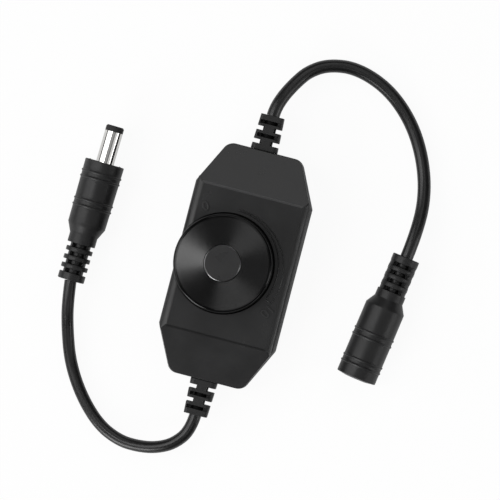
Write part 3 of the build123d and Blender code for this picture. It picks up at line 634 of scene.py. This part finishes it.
@dataclass(frozen=True)
class TurnedFinish(Finish):
    """A finish whose surface has fine turned rings about the knob's axis."""

    pitch: float = 0.2
    slope: float = 0.1

    def form(self, wiring: Wiring, vector: NodeSocket, bump: Node) -> None:
        """Lays the rings under a little grain.

        Args:
            wiring: The material's tree.
            vector: The finish's coordinates.
            bump: The bump that carries the grain.
        """
        centred = wiring.add("ShaderNodeMapping", vector, (-KNOB_AXIS[0], -KNOB_AXIS[1], 0))
        rings = TurnedGrooves().place(wiring, Vector=centred.outputs[0], Pitch=self.pitch, Slope=self.slope)
        wiring.fill(bump, Normal=rings.outputs["Normal"])


HOUSING = Finish(
    "housing plastic",
    (0.018, 0.018, 0.0184),
    roughness=0.25,
    roughness_swing=0.03,
    grain_depth=0.003,
    wear=0.3,
)
# Side walls: a duller copy of the housing plastic for their matte texture, with a darker colour that is
# painted shade.
SHADED_WALL = Finish(
    "housing wall, darker as painted shade", (0.012, 0.012, 0.0123), roughness=0.55, specular=0.25, grain_depth=0.006, wear=0.25
)
# Painted highlight: a pale copy of the housing plastic on the upper crease of each end.
PAINTED_RIDGE_HIGHLIGHT = Finish("painted highlight on the upper crease", (0.05, 0.05, 0.051), roughness=0.3, grain_depth=0.002)
# Painted shade: a darker, duller copy of the housing plastic on the lower crease of each end.
PAINTED_FOLD_SHADE = Finish("painted shade on the lower crease", (0.009, 0.009, 0.0092), roughness=0.5, specular=0.2, grain_depth=0.002)
SHOULDER = Finish(
    "rounded shoulder", (0.018, 0.018, 0.0184), roughness=0.4, grain_depth=0.003, wear=0.3
)
SIGN = Finish("raised sign", (0.02, 0.02, 0.0204), roughness=0.3, grain_depth=0.001)
SOFT = Finish(
    "soft moulding", (0.01, 0.01, 0.0103), roughness=0.5, grain_depth=0.005, wear=0.2, sheen=0.05
)
JACKET = Finish("cord jacket", (0.01, 0.01, 0.0102), roughness=0.3, grain_size=0.2, grain_depth=0.005)
# Painted shade: a near-black, dull copy of the cord jacket for the cord ends seen in the reliefs' slots.
SHADED_JACKET = Finish("jacket in the slots, painted shade", (0.004, 0.004, 0.0041), roughness=0.6, specular=0.1)
GRIP = Finish("grip moulding", (0.018, 0.018, 0.0184), roughness=0.38, specular=0.36, wear=0.2)
KNOB_CONE = TurnedFinish(
    "turned cone",
    (0.005, 0.005, 0.0051),
    roughness=0.2,
    roughness_swing=0.02,
    grain_depth=0.001,
    slope=0.07,
)
# Painted shade: a near-black, dull copy of the knob plastic for its flank and underside.
SHADED_KNOB_FLANK = Finish("knob flank, painted shade", (0.003, 0.003, 0.0031), roughness=0.5, specular=0.15)
# Painted shadow: a black, non-reflecting finish for the groove round the knob's foot.
PAINTED_KNOB_SHADOW = Finish("painted shadow round the knob", (0.002, 0.002, 0.002), roughness=0.7, specular=0.05)
CAP = Finish("cap plastic", (0.022, 0.022, 0.0224), roughness=0.3, grain_depth=0.001)
RIM = Finish("knob rim", (0.003, 0.003, 0.0031), roughness=0.1, specular=0.24, grain_depth=0.0005)
CUT_EDGE = Finish(
    "cut edge of the cap",
    (0.24, 0.24, 0.243),
    roughness=0.3,
    metallic=1.0,
    grain_depth=0.0005,
    patch_lift=1.05,
)
NICKEL = Finish(
    "bright nickel",
    (0.78, 0.77, 0.75),
    roughness=0.1,
    roughness_swing=0.03,
    metallic=1.0,
    grain_size=0.4,
    grain_depth=0.001,
    patch_lift=1.03,
)
INSULATOR = Finish("insulator", (0.012, 0.012, 0.0124), roughness=0.22)
BRASS = Finish("contact brass", (0.72, 0.55, 0.27), roughness=0.26, metallic=1.0, patch_lift=1.08)
STEEL = Finish("zinc-plated steel", (0.5, 0.5, 0.52), roughness=0.34, metallic=1.0, patch_lift=1.12)
TINNED = Finish("tinned sheet", (0.6, 0.6, 0.6), roughness=0.38, metallic=1.0)
SHAFT = Finish("turned shaft", (0.66, 0.66, 0.67), roughness=0.3, metallic=1.0)
PHENOLIC = Finish("phenolic", (0.09, 0.06, 0.035), roughness=0.55, patch_lift=1.4)
WAFER = Finish("wafer", (0.3, 0.17, 0.07), roughness=0.55, patch_lift=1.3)
BOARD = Finish("board lacquer", (0.02, 0.13, 0.045), roughness=0.28, coat=0.4, patch_lift=1.3)
SLEEVING = Finish("capacitor sleeve", (0.015, 0.02, 0.05), roughness=0.25)
CHIP = Finish("chip moulding", (0.016, 0.016, 0.016), roughness=0.5)
FIRED = Finish("fired ceramic", (0.4, 0.26, 0.13), roughness=0.5)
CORE = Finish("core insulation", (0.3, 0.012, 0.012), roughness=0.3)

SLOT_FINISHES = {
    "housing": HOUSING,
    "screw_steel": STEEL,
    "soft_moulding": SOFT,
    "cord_jacket": JACKET,
    "core_insulation": CORE,
    "knob_face": KNOB_CONE,
    "knob_centre": CAP,
    "shaft_metal": SHAFT,
    "pot_plastic": PHENOLIC,
    "contact_brass": BRASS,
    "sheet_metal": TINNED,
    "wafer": WAFER,
    "board": BOARD,
    "capacitor_can": SLEEVING,
    "chip_plastic": CHIP,
    "fired_chip": FIRED,
    "grip_moulding": GRIP,
    "bright_nickel": NICKEL,
    "insulator": INSULATOR,
}


# Studio

WHITE = (1, 1, 1, 1)


@dataclass
class Lamp:
    """A soft rectangular lamp.

    across and up are its direction from overhead, and width and height its size as the object sees it,
    all in degrees in the photograph's frame. level is its radiance.
    """

    name: str
    across: float
    up: float
    width: float
    height: float
    level: float


@dataclass
class Studio:
    """Camera, floor, world and lamps. Angles are degrees."""

    turn: float = 14.6
    tilt: float = 2.8
    distance: float = 1.6
    frame_width: float = 151 * MM
    aim: tuple[float, float, float] = (2.84 * MM, 5.73 * MM, 8.5 * MM)
    lamp_distance: float = 2.2
    lamps: tuple[Lamp, ...] = (
        Lamp("left softbox", -52.0, 6.0, 40.0, 44.0, 1.9),
        Lamp("lower left softbox", -63.0, -46.0, 34.0, 24.0, 6.0),
        Lamp("right softbox", 72.0, -18.0, 30.0, 16.0, 2.4),
        Lamp("right fill", 42.0, -11.0, 24.0, 16.0, 0.7),
        Lamp("inner right fill", 22.0, -7.0, 18.0, 34.0, 0.13),
        Lamp("left key", -23.5, 4.8, 19.0, 17.0, 3.9),
        Lamp("upper right key", 15.6, 17.4, 19.0, 18.0, 0.95),
        Lamp("lower key", 6.5, -22.6, 27.0, 10.0, 1.25),
        Lamp("upper softbox", 10.0, 44.0, 44.0, 24.0, 0.95),
        Lamp("lower softbox", -11.5, -43.0, 30.0, 20.0, 0.12),
        Lamp("overhead", 1.5, 0.0, 28.0, 20.0, 0.28),
    )
    world_level: float = 0.05
    floor_glow: float = 1.04
    sensor_width: float = 36.0
    view_depth: float = 10.0
    floor_size: float = 6.0
    floor_z: float = -0.02 * MM
    floor_color: tuple[float, float, float, float] = (0.8, 0.8, 0.8, 1.0)
    floor_roughness: float = 0.8
    floor_glow_share: float = 0.9
    floor_gloss_share: float = 0.45

    def axes(self) -> tuple[Vector, Vector, Vector]:
        """Turns the photograph's frame into the model's.

        Returns:
            The photograph's right and up directions, and the direction overhead.
        """
        angle = math.radians(self.turn)
        right = Vector((math.cos(angle), math.sin(angle), 0))
        upward = Vector((-math.sin(angle), math.cos(angle), 0))
        return right, upward, Vector((0, 0, 1))

    def facing(self, back: Vector, distance: float) -> Matrix:
        """A place that looks at the object, level with the photograph.

        Args:
            back: Direction from the object to the place, of length 1.
            distance: How far off it is.

        Returns:
            The place, as a camera's or a lamp's matrix.
        """
        side = self.axes()[1].cross(back).normalized()
        level = Matrix((side, back.cross(side), back)).transposed()
        return Matrix.Translation(Vector(self.aim) + back * distance) @ level.to_4x4()

    def camera(self) -> None:
        """Places the camera above the object, a little to its right."""
        data = bpy.data.cameras.new("camera")
        data.sensor_width = self.sensor_width
        data.lens = data.sensor_width * self.distance / self.frame_width
        data.clip_end = self.view_depth
        eye = bpy.data.objects.new("camera", data)
        bpy.context.scene.collection.objects.link(eye)
        right, _, high = self.axes()
        tilt = math.radians(self.tilt)
        eye.matrix_world = self.facing(right * math.sin(tilt) + high * math.cos(tilt), self.distance)
        bpy.context.scene.camera = eye

    def light(self, lamp: Lamp) -> None:
        """Adds one lamp, aimed at the object.

        Args:
            lamp: The lamp's direction, size and radiance.
        """
        right, upward, high = self.axes()
        across, up = math.radians(lamp.across), math.radians(lamp.up)
        towards = right * math.sin(across) * math.cos(up) + upward * math.sin(up)
        towards += high * math.cos(across) * math.cos(up)
        data = bpy.data.lights.new(lamp.name, "AREA")
        data.shape = "RECTANGLE"
        data.size = 2 * self.lamp_distance * math.tan(math.radians(lamp.width) / 2)
        data.size_y = 2 * self.lamp_distance * math.tan(math.radians(lamp.height) / 2)
        data.energy = lamp.level * math.pi * data.size * data.size_y
        piece = bpy.data.objects.new(lamp.name, data)
        bpy.context.scene.collection.objects.link(piece)
        piece.matrix_world = self.facing(towards.normalized(), self.lamp_distance)
        piece.visible_camera = False

    def world(self) -> None:
        """White for the camera, and a dim plain room for light and reflections."""
        world = bpy.data.worlds.new("room")
        bpy.context.scene.world = world
        world.use_nodes = True
        wiring = Wiring(world.node_tree)
        world.node_tree.nodes.clear()
        camera_ray = wiring.add("ShaderNodeLightPath").outputs["Is Camera Ray"]
        plain = wiring.add("ShaderNodeBackground", WHITE, self.world_level)
        seen = wiring.add("ShaderNodeBackground", WHITE)
        choice = wiring.add("ShaderNodeMixShader", camera_ray, plain.outputs[0], seen.outputs[0])
        wiring.add("ShaderNodeOutputWorld", choice.outputs[0])

    def floor(self) -> None:
        """A large plain floor, close to white for the camera but for the object's soft shadow."""
        Bench.clear()
        bpy.ops.mesh.primitive_plane_add(size=self.floor_size, location=(0, 0, self.floor_z))
        piece = Bench.named("floor")
        Bench.settle(piece, Matrix.Identity(4))
        paint = bpy.data.materials.new("floor paint")
        paint.use_nodes = True
        wiring = Wiring(paint.node_tree)
        shader = paint.node_tree.nodes["Principled BSDF"]
        wiring.fill(shader, Base_Color=self.floor_color, Roughness=self.floor_roughness)
        wiring.fill(shader, Specular_IOR_Level=0.0)
        glow = wiring.add("ShaderNodeEmission", WHITE, self.floor_glow)
        path = wiring.add("ShaderNodeLightPath")
        shiny = wiring.math("MULTIPLY", path.outputs["Is Glossy Ray"], self.floor_gloss_share)
        seen = wiring.math("ADD", path.outputs["Is Camera Ray"], shiny, clamp=True)
        share = wiring.math("MULTIPLY", seen, self.floor_glow_share)
        choice = wiring.add("ShaderNodeMixShader", share, shader.outputs[0], glow.outputs[0])
        wiring.link(choice.outputs[0], paint.node_tree.nodes["Material Output"].inputs["Surface"])
        piece.data.materials.append(paint)

    def build(self) -> None:
        """Sets up the whole studio."""
        self.camera()
        self.world()
        self.floor()
        for lamp in self.lamps:
            self.light(lamp)
        bpy.context.scene.view_settings.view_transform = "Standard"


# Leads


@dataclass
class Lead:
    """One free lead, a smooth curve along its route, whose inner points are listed.

    The route is in millimetres, the other sizes are metres.
    """

    name: str
    node: str
    route: tuple[tuple[float, float, float], ...]
    radius: float
    length: float
    far_end: str
    with_nodes: tuple[str, ...]
    order: int = 3
    steps: int = 12
    rounding: int = 7

    def build(self, ends: list[Object]) -> None:
        """Args:
            ends: The pieces at its far end. Not used.
        """
        points = [tuple(part * MM for part in place) for place in self.route]
        piece = Bench.thread(self.name, Course.SMOOTH, points, self.radius, self.rounding)
        spline = piece.data.splines[0]
        spline.order_u = self.order
        spline.use_endpoint_u = True
        spline.resolution_u = self.steps
        piece.data.use_fill_caps = True
        piece.data.materials.append(JACKET.material())
        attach(piece, Body.BOX.value)
        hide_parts(self.node)
        log.info("%s is %.0f mm long", self.name, self.length / MM)


OUTPUT_LEAD = Lead(
    name="output_lead",
    node="output_cord",
    route=(
        (-0.6, 46.6, 8.5), (-0.5, 49.0, 8.5), (0.9, 53.3, 8.2),
        (3.1, 57.6, 7.3), (6.2, 62.3, 6.0), (11.6, 65.9, 4.4),
        (20.2, 67.1, 2.6), (31.0, 63.4, 2.1), (40.2, 55.4, 2.1),
        (46.5, 45.1, 2.1), (50.0, 33.8, 3.5), (50.1, 22.6, 6.4),
        (49.1, 15.4, 6.4),
    ),
    radius=2.0 * MM,
    length=100.4 * MM,
    far_end="connector",
    with_nodes=("jack_insert", "jack_pin", "jack_spring"),
)
INPUT_LEAD = Lead(
    name="input_lead",
    node="input_cord",
    route=(
        (-0.6, -46.6, 8.5), (-0.9, -51.6, 8.4), (-4.7, -56.7, 7.4),
        (-9.6, -59.3, 6.0), (-15.0, -60.4, 4.4), (-21.3, -60.3, 3.1),
        (-28.7, -57.2, 2.2), (-36.2, -49.8, 2.0), (-41.9, -40.8, 2.1),
        (-45.1, -31.3, 3.6), (-46.8, -23.6, 6.2), (-47.6, -16.9, 6.3),
    ),
    radius=1.85 * MM,
    length=86.4 * MM,
    far_end="plug",
    with_nodes=("plug_sleeve", "plug_insulator", "plug_inner_contact"),
)


# Pieces of the dimmer


def off_axis(face: MeshPolygon) -> float:
    """How far a face's centre is from the knob's axis."""
    return (face.center.xy - Vector(KNOB_AXIS)).length


def hand_over(piece: Object, body: Body, slot: str, *nodes: str, finish: Finish | None = None) -> None:
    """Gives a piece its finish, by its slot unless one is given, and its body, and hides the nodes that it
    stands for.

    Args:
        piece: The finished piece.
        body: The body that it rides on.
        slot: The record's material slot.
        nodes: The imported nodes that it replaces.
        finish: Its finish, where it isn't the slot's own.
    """
    piece.data.materials.clear()
    piece.data.materials.append((finish or SLOT_FINISHES[slot]).material())
    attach(piece, body.value)
    if nodes:
        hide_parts(*nodes)
    log.info("%s rides on %s", piece.name, body.value)


@dataclass
class Signs:
    """Raised numbers and the rising crescent on the box's face, about the knob's axis."""

    proud: float = 0.24 * MM
    number_edge: float = 0.08 * MM
    number_rounding: int = 1
    number_size: float = 4.2 * MM
    low_place: tuple[float, float] = (17.9 * MM, 122.0)
    high_place: tuple[float, float] = (19.4 * MM, -33.0)
    crescent_inner: float = 16.5 * MM
    crescent_width: float = 1.9 * MM
    crescent_line: float = 0.42 * MM
    crescent_start: float = 88.6
    crescent_end: float = -26.0
    crescent_steps: int = 48
    crescent_rounding: int = 2
    crescent_smooth: float = 60.0

    def number(self, text: str, radius: float, angle: float) -> Object:
        """A raised number with its foot towards the knob.

        Args:
            text: The figures.
            radius: Its distance from the knob's axis.
            angle: Its place about the knob's axis, in degrees from +X.

        Returns:
            The piece.
        """
        Bench.clear()
        bpy.ops.object.text_add()
        letters = bpy.context.view_layer.objects.active
        letters.data.body = text
        letters.data.size = self.number_size
        letters.data.align_x = "CENTER"
        letters.data.align_y = "CENTER"
        letters.data.extrude = self.proud - self.number_edge
        letters.data.bevel_depth = self.number_edge
        letters.data.bevel_resolution = self.number_rounding
        bpy.ops.object.convert(target="MESH")
        piece = Bench.named(f"number_{text}")
        turn = math.radians(angle)
        spot = Vector((*KNOB_AXIS, BOX_TOP)) + radius * Vector((math.cos(turn), math.sin(turn), 0))
        Bench.settle(piece, Matrix.Translation(spot) @ Matrix.Rotation(turn - math.pi / 2, 4, "Z"))
        Bench.smooth(piece)
        return piece

    def crescent(self) -> Object:
        """Draws the outline of a wedge that widens round the knob, as one raised thread.

        Returns:
            The piece.
        """
        outer: list[Vector] = []
        inner: list[Vector] = []
        for step in range(self.crescent_steps + 1):
            share = step / self.crescent_steps
            turn = math.radians(self.crescent_start + share * (self.crescent_end - self.crescent_start))
            wide = self.crescent_line / 2 + self.crescent_width * share
            for row, radius in ((inner, self.crescent_inner), (outer, self.crescent_inner + wide)):
                x = KNOB_AXIS[0] + radius * math.cos(turn)
                y = KNOB_AXIS[1] + radius * math.sin(turn)
                row.append(Vector((x, y, BOX_TOP)))
        loop = outer + inner[::-1]
        line = Bench.thread(
            "crescent", Course.STRAIGHT, loop, self.crescent_line / 2, self.crescent_rounding
        )
        line.data.splines[0].use_cyclic_u = True
        Bench.focus(line)
        bpy.ops.object.convert(target="MESH")
        piece = Bench.named("crescent")
        squash = Matrix.Diagonal((1, 1, 2 * self.proud / self.crescent_line, 1))
        lift = Matrix.Translation((0, 0, BOX_TOP))
        Bench.settle(piece, lift @ squash @ lift.inverted())
        Bench.smooth(piece, self.crescent_smooth)
        return piece

    def build(self) -> None:
        """Makes the signs and sets them on the box."""
        low, high = self.number("0", *self.low_place), self.number("10", *self.high_place)
        for piece in (low, high, self.crescent()):
            hand_over(piece, Body.BOX, "housing", finish=SIGN)


@dataclass
class Housing:
    """Both halves of the box and the strain reliefs in its ends.

    Walls, creases and shoulders are told apart by how far up, across and along their normals lean.
    """

    edge: float = 0.3 * MM
    crease: float = 15.0
    wall_lean: float = 0.3
    crease_low: float = 0.94
    crease_high: float = 0.9995
    crease_along: float = 3.0
    shoulder_high: float = 0.998
    shoulder_along: float = 0.1
    relief_edge: float = 0.14 * MM
    # Sizes of the shallow groove round the knob, which carries a painted shadow.
    shadow_inner: float = 14.3 * MM
    shadow_outer: float = 15.4 * MM
    shadow_depth: float = 0.3 * MM
    shadow_steps: int = 160
    slack: float = 0.02 * MM
    inner_slack: float = 0.1 * MM

    def shadow_ring(self, upper: Object) -> None:
        """Sinks a shallow groove round the knob's foot into the face, and paints its floor and walls
        near-black as the knob's contact shadow.

        Args:
            upper: The box's upper half.
        """
        low, high = BOX_TOP - self.shadow_depth, BOX_TOP + self.shadow_depth
        ring = [(self.shadow_inner, low), (self.shadow_outer, low), (self.shadow_outer, high), (self.shadow_inner, high)]
        tool = Bench.spin("shadow_ring_tool", ring + ring[:1], self.shadow_steps)
        Bench.settle(tool, TO_AXIS)
        Bench.join(upper, tool, Join.CUT)
        # The groove's floor and walls get a near-black finish as painted contact shadow.
        upper.data.materials.append(PAINTED_KNOB_SHADOW.material())
        for face in upper.data.polygons:
            inside = self.shadow_inner - self.inner_slack < off_axis(face) < self.shadow_outer + self.slack
            if inside and low - self.slack < face.center.z < BOX_TOP - self.slack:
                face.material_index = 1
        Bench.level(upper)

    def dress(self, half: Object) -> None:
        """Gives one half's walls, the creases of its ends and its long shoulders their finishes.
        The walls get a darker copy of the plastic as painted shade, the upper creases a painted highlight
        and the lower creases painted shade.

        Args:
            half: The upper or the lower half.
        """
        first = len(half.data.materials)
        for finish in (SHADED_WALL, PAINTED_RIDGE_HIGHLIGHT, PAINTED_FOLD_SHADE, SHOULDER):
            half.data.materials.append(finish.material())
        for face in half.data.polygons:
            across, along, up = face.normal
            # Walls: darker colour as painted shade.
            if abs(up) < self.wall_lean and face.material_index == 0:
                face.material_index = first
            elif self.crease_low < up < self.crease_high and abs(across) < abs(along) / self.crease_along:
                # Upper creases get a painted highlight, lower creases painted shade.
                face.material_index = first + (1 if along > 0 else 2)
            elif self.wall_lean <= up < self.shoulder_high and abs(along) < self.shoulder_along:
                face.material_index = first + 3

    def build(self) -> None:
        """Rounds the mouldings' edges and dresses them."""
        for node in ("upper_shell", "lower_shell"):
            piece = Bench.merged_copy(node, node.replace("shell", "half"), self.edge, self.crease)
            hand_over(piece, Body.BOX, "housing", node)
            if node == "upper_shell":
                self.shadow_ring(piece)
            self.dress(piece)
        for node in ("input_relief", "output_relief"):
            piece = Bench.merged_copy(node, f"{node}_boot", self.relief_edge)
            hand_over(piece, Body.BOX, "soft_moulding", node)


@dataclass
class Knob:
    """The knob with its low cone and its centre cap, turned on the shaft's axis."""

    base_r: float = 15.0 * MM
    rim_r: float = 14.9 * MM
    low: float = 19.8 * MM
    high: float = 27.0 * MM
    lean: float = 11.7
    seat_r: float = 5.68 * MM
    seat_z: float = 24.2 * MM
    skirt: float = 1.7 * MM
    roof: float = 1.5 * MM
    bore_r: float = 3.1 * MM
    bore_top: float = 23.5 * MM
    hub_r: float = 4.6 * MM
    edge: float = 0.4 * MM
    rim_edge: float = 0.9 * MM
    steps: int = 160
    face_rings: int = 24
    rim_steps: int = 10
    foot_steps: int = 4
    flank_lean: float = 2.0
    disc_smooth: float = 32.0
    cap_smooth: float = 20.0
    cap_r: float = 5.62 * MM
    cut_width: float = 0.34 * MM
    cut_lean: float = 33.0

    @staticmethod
    def arc(
        centre: tuple[float, float], radius: float, start: float, end: float, steps: int
    ) -> list[tuple[float, float]]:
        """Points of a rounding in the profile's plane.

        Args:
            centre: Radius and height of its centre.
            radius: Its radius.
            start: First direction, in degrees.
            end: Last direction, in degrees.
            steps: How many steps it has.

        Returns:
            The points, as radius and height pairs.
        """
        turns = [math.radians(start + (end - start) * step / steps) for step in range(steps + 1)]
        return [(centre[0] + radius * math.cos(turn), centre[1] + radius * math.sin(turn)) for turn in turns]

    def face_z(self, radius: float) -> float:
        """Height of the cone at a radius, level with the cap's top where it meets the cap."""
        return self.high - (radius - self.seat_r) * math.tan(math.radians(self.lean))

    def disc(self) -> Object:
        """Turns the knob's shell, from the cap's seat over the cone and rim to the hub's bore.

        Returns:
            The piece.
        """
        lean = math.radians(self.lean)
        centre_r = self.rim_r - self.rim_edge
        outer_r = centre_r + self.rim_edge * math.sin(lean)
        centre_z = self.face_z(outer_r) - self.rim_edge * math.cos(lean)
        profile = [(0.0, self.seat_z), (self.seat_r, self.seat_z)]
        for step in range(self.face_rings + 1):
            radius = self.seat_r + (outer_r - self.seat_r) * step / self.face_rings
            profile.append((radius, self.face_z(radius)))
        first, last = 90 - self.lean, self.flank_lean
        profile += self.arc((centre_r, centre_z), self.rim_edge, first, last, self.rim_steps)[1:]
        foot = (self.base_r - self.edge, self.low + self.edge)
        profile += self.arc(foot, self.edge, self.flank_lean, -90, self.foot_steps)
        skirt_r = self.base_r - self.skirt
        roof_z = self.face_z(skirt_r) - self.roof
        profile += [(skirt_r, self.low), (skirt_r, roof_z), (self.hub_r, roof_z), (self.hub_r, self.low)]
        profile += [(self.bore_r, self.low), (self.bore_r, self.bore_top), (0.0, self.bore_top)]
        piece = Bench.spin("knob_disc", profile, self.steps)
        Bench.settle(piece, TO_AXIS)
        Bench.smooth(piece, self.disc_smooth)
        return piece

    def cap(self) -> Object:
        """Turns the flat centre cap with its cut edge.

        Returns:
            The piece.
        """
        drop = self.cut_width * math.tan(math.radians(self.cut_lean))
        profile = [(0.0, self.seat_z), (self.cap_r, self.seat_z), (self.cap_r, self.high - drop)]
        profile += [(self.cap_r - self.cut_width, self.high), (0.0, self.high)]
        piece = Bench.spin("knob_centre", profile, self.steps)
        Bench.settle(piece, TO_AXIS)
        Bench.smooth(piece, self.cap_smooth)
        return piece

    def build(self) -> None:
        """Makes the knob's two visible pieces."""
        disc = self.disc()
        hand_over(disc, Body.KNOB, "knob_face", "knob")
        # The flank and underside get a near-black, dull copy of the knob plastic as painted shade.
        disc.data.materials.append(SHADED_KNOB_FLANK.material())
        disc.data.materials.append(RIM.material())
        rounding = self.rim_r - self.rim_edge
        rim_z = self.face_z(rounding) - self.rim_edge
        for face in disc.data.polygons:
            off = off_axis(face)
            if off > rounding and face.center.z > rim_z:
                face.material_index = 2
            elif off > rounding or face.center.z < self.seat_z:
                face.material_index = 1
        cap = self.cap()
        hand_over(cap, Body.KNOB, "knob_centre", "knob_cap")
        cap.data.materials.append(CUT_EDGE.material())
        for face in cap.data.polygons:
            face.material_index = int(off_axis(face) > self.cap_r - self.cut_width)


@dataclass
class Screws:
    """The four screws in the box's underside, with a cross recess in each head."""

    across: float = 10.0 * MM
    along: float = 28.0 * MM
    arm: float = 2.3 * MM
    blade: float = 0.55 * MM
    depth: float = 0.8 * MM
    edge: float = 0.08 * MM

    def cross(self, place: tuple[float, float, float]) -> Object:
        """Makes the tool that cuts one head's recess.

        Args:
            place: The middle of the head's face.

        Returns:
            The tool, a cross of two blades.
        """
        Bench.clear()
        bpy.ops.mesh.primitive_cube_add(size=1.0, location=place)
        tool = Bench.named("cross_tool")
        tool.scale = (self.arm, self.blade, 2 * self.depth)
        bpy.ops.object.duplicate()
        blade = Bench.named("cross_blade")
        blade.scale = (self.blade, self.arm, 2 * self.depth)
        Bench.join(tool, blade, Join.ADD)
        return tool

    def build(self) -> None:
        """Rounds the screws' edges and cuts their recesses."""
        screws = Bench.merged_copy("shell_screws", "housing_screws", self.edge)
        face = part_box("shell_screws")[0][2]
        for x in (-self.across, self.across):
            for y in (-self.along, self.along):
                Bench.join(screws, self.cross((x, y, face)), Join.CUT)
        Bench.level(screws)
        hand_over(screws, Body.BOX, "screw_steel", "shell_screws")


@dataclass
class Connector:
    """A moulded connector at the end of a lead."""

    grip_node: str
    grip_name: str
    edge: float = 0.12 * MM

    def build(self) -> Object:
        """Rounds and dresses the grip.

        Returns:
            The grip.
        """
        grip = Bench.merged_copy(self.grip_node, self.grip_name, self.edge)
        hand_over(grip, Body.BOX, "grip_moulding", self.grip_node)
        return grip


@dataclass
class Insides:
    """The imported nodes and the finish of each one's slot, which those that stay as they are show."""

    smooth_angle: float = 25.0

    def build(self) -> None:
        """Assigns each node's finish by its slot in the record; the cord ends in the reliefs' slots get
        painted shade instead.
        """
        slots = {part["node"]: part["material_slot"] for part in frame["record"]["subparts"]}
        for name, piece in frame["nodes"].items():
            piece.data.materials.clear()
            piece.data.materials.append(SLOT_FINISHES[slots[name]].material())
            Bench.smooth(piece, self.smooth_angle)
        # The cord ends in the reliefs' slots get a dark, dull copy of the jacket as painted shade.
        for name in ("input_cord_end", "output_cord_end"):
            frame["nodes"][name].data.materials[0] = SHADED_JACKET.material()
        log.info("%d packed nodes have their finish", len(frame["nodes"]))


def main() -> None:
    """Builds the camera and leads first, then each sub-assembly."""
    logging.basicConfig(level=logging.INFO, format="%(message)s")
    Studio().build()
    plug = Connector("plug_grip", "plug_moulding")
    socket = Connector("jack_grip", "socket_moulding")
    for lead, connector in ((INPUT_LEAD, plug), (OUTPUT_LEAD, socket)):
        grip = connector.build()
        lead.build([grip] + [frame["nodes"][node] for node in lead.with_nodes])
    Insides().build()
    Housing().build()
    Signs().build()
    Screws().build()
    Knob().build()


if __name__ == "__main__":
    main()
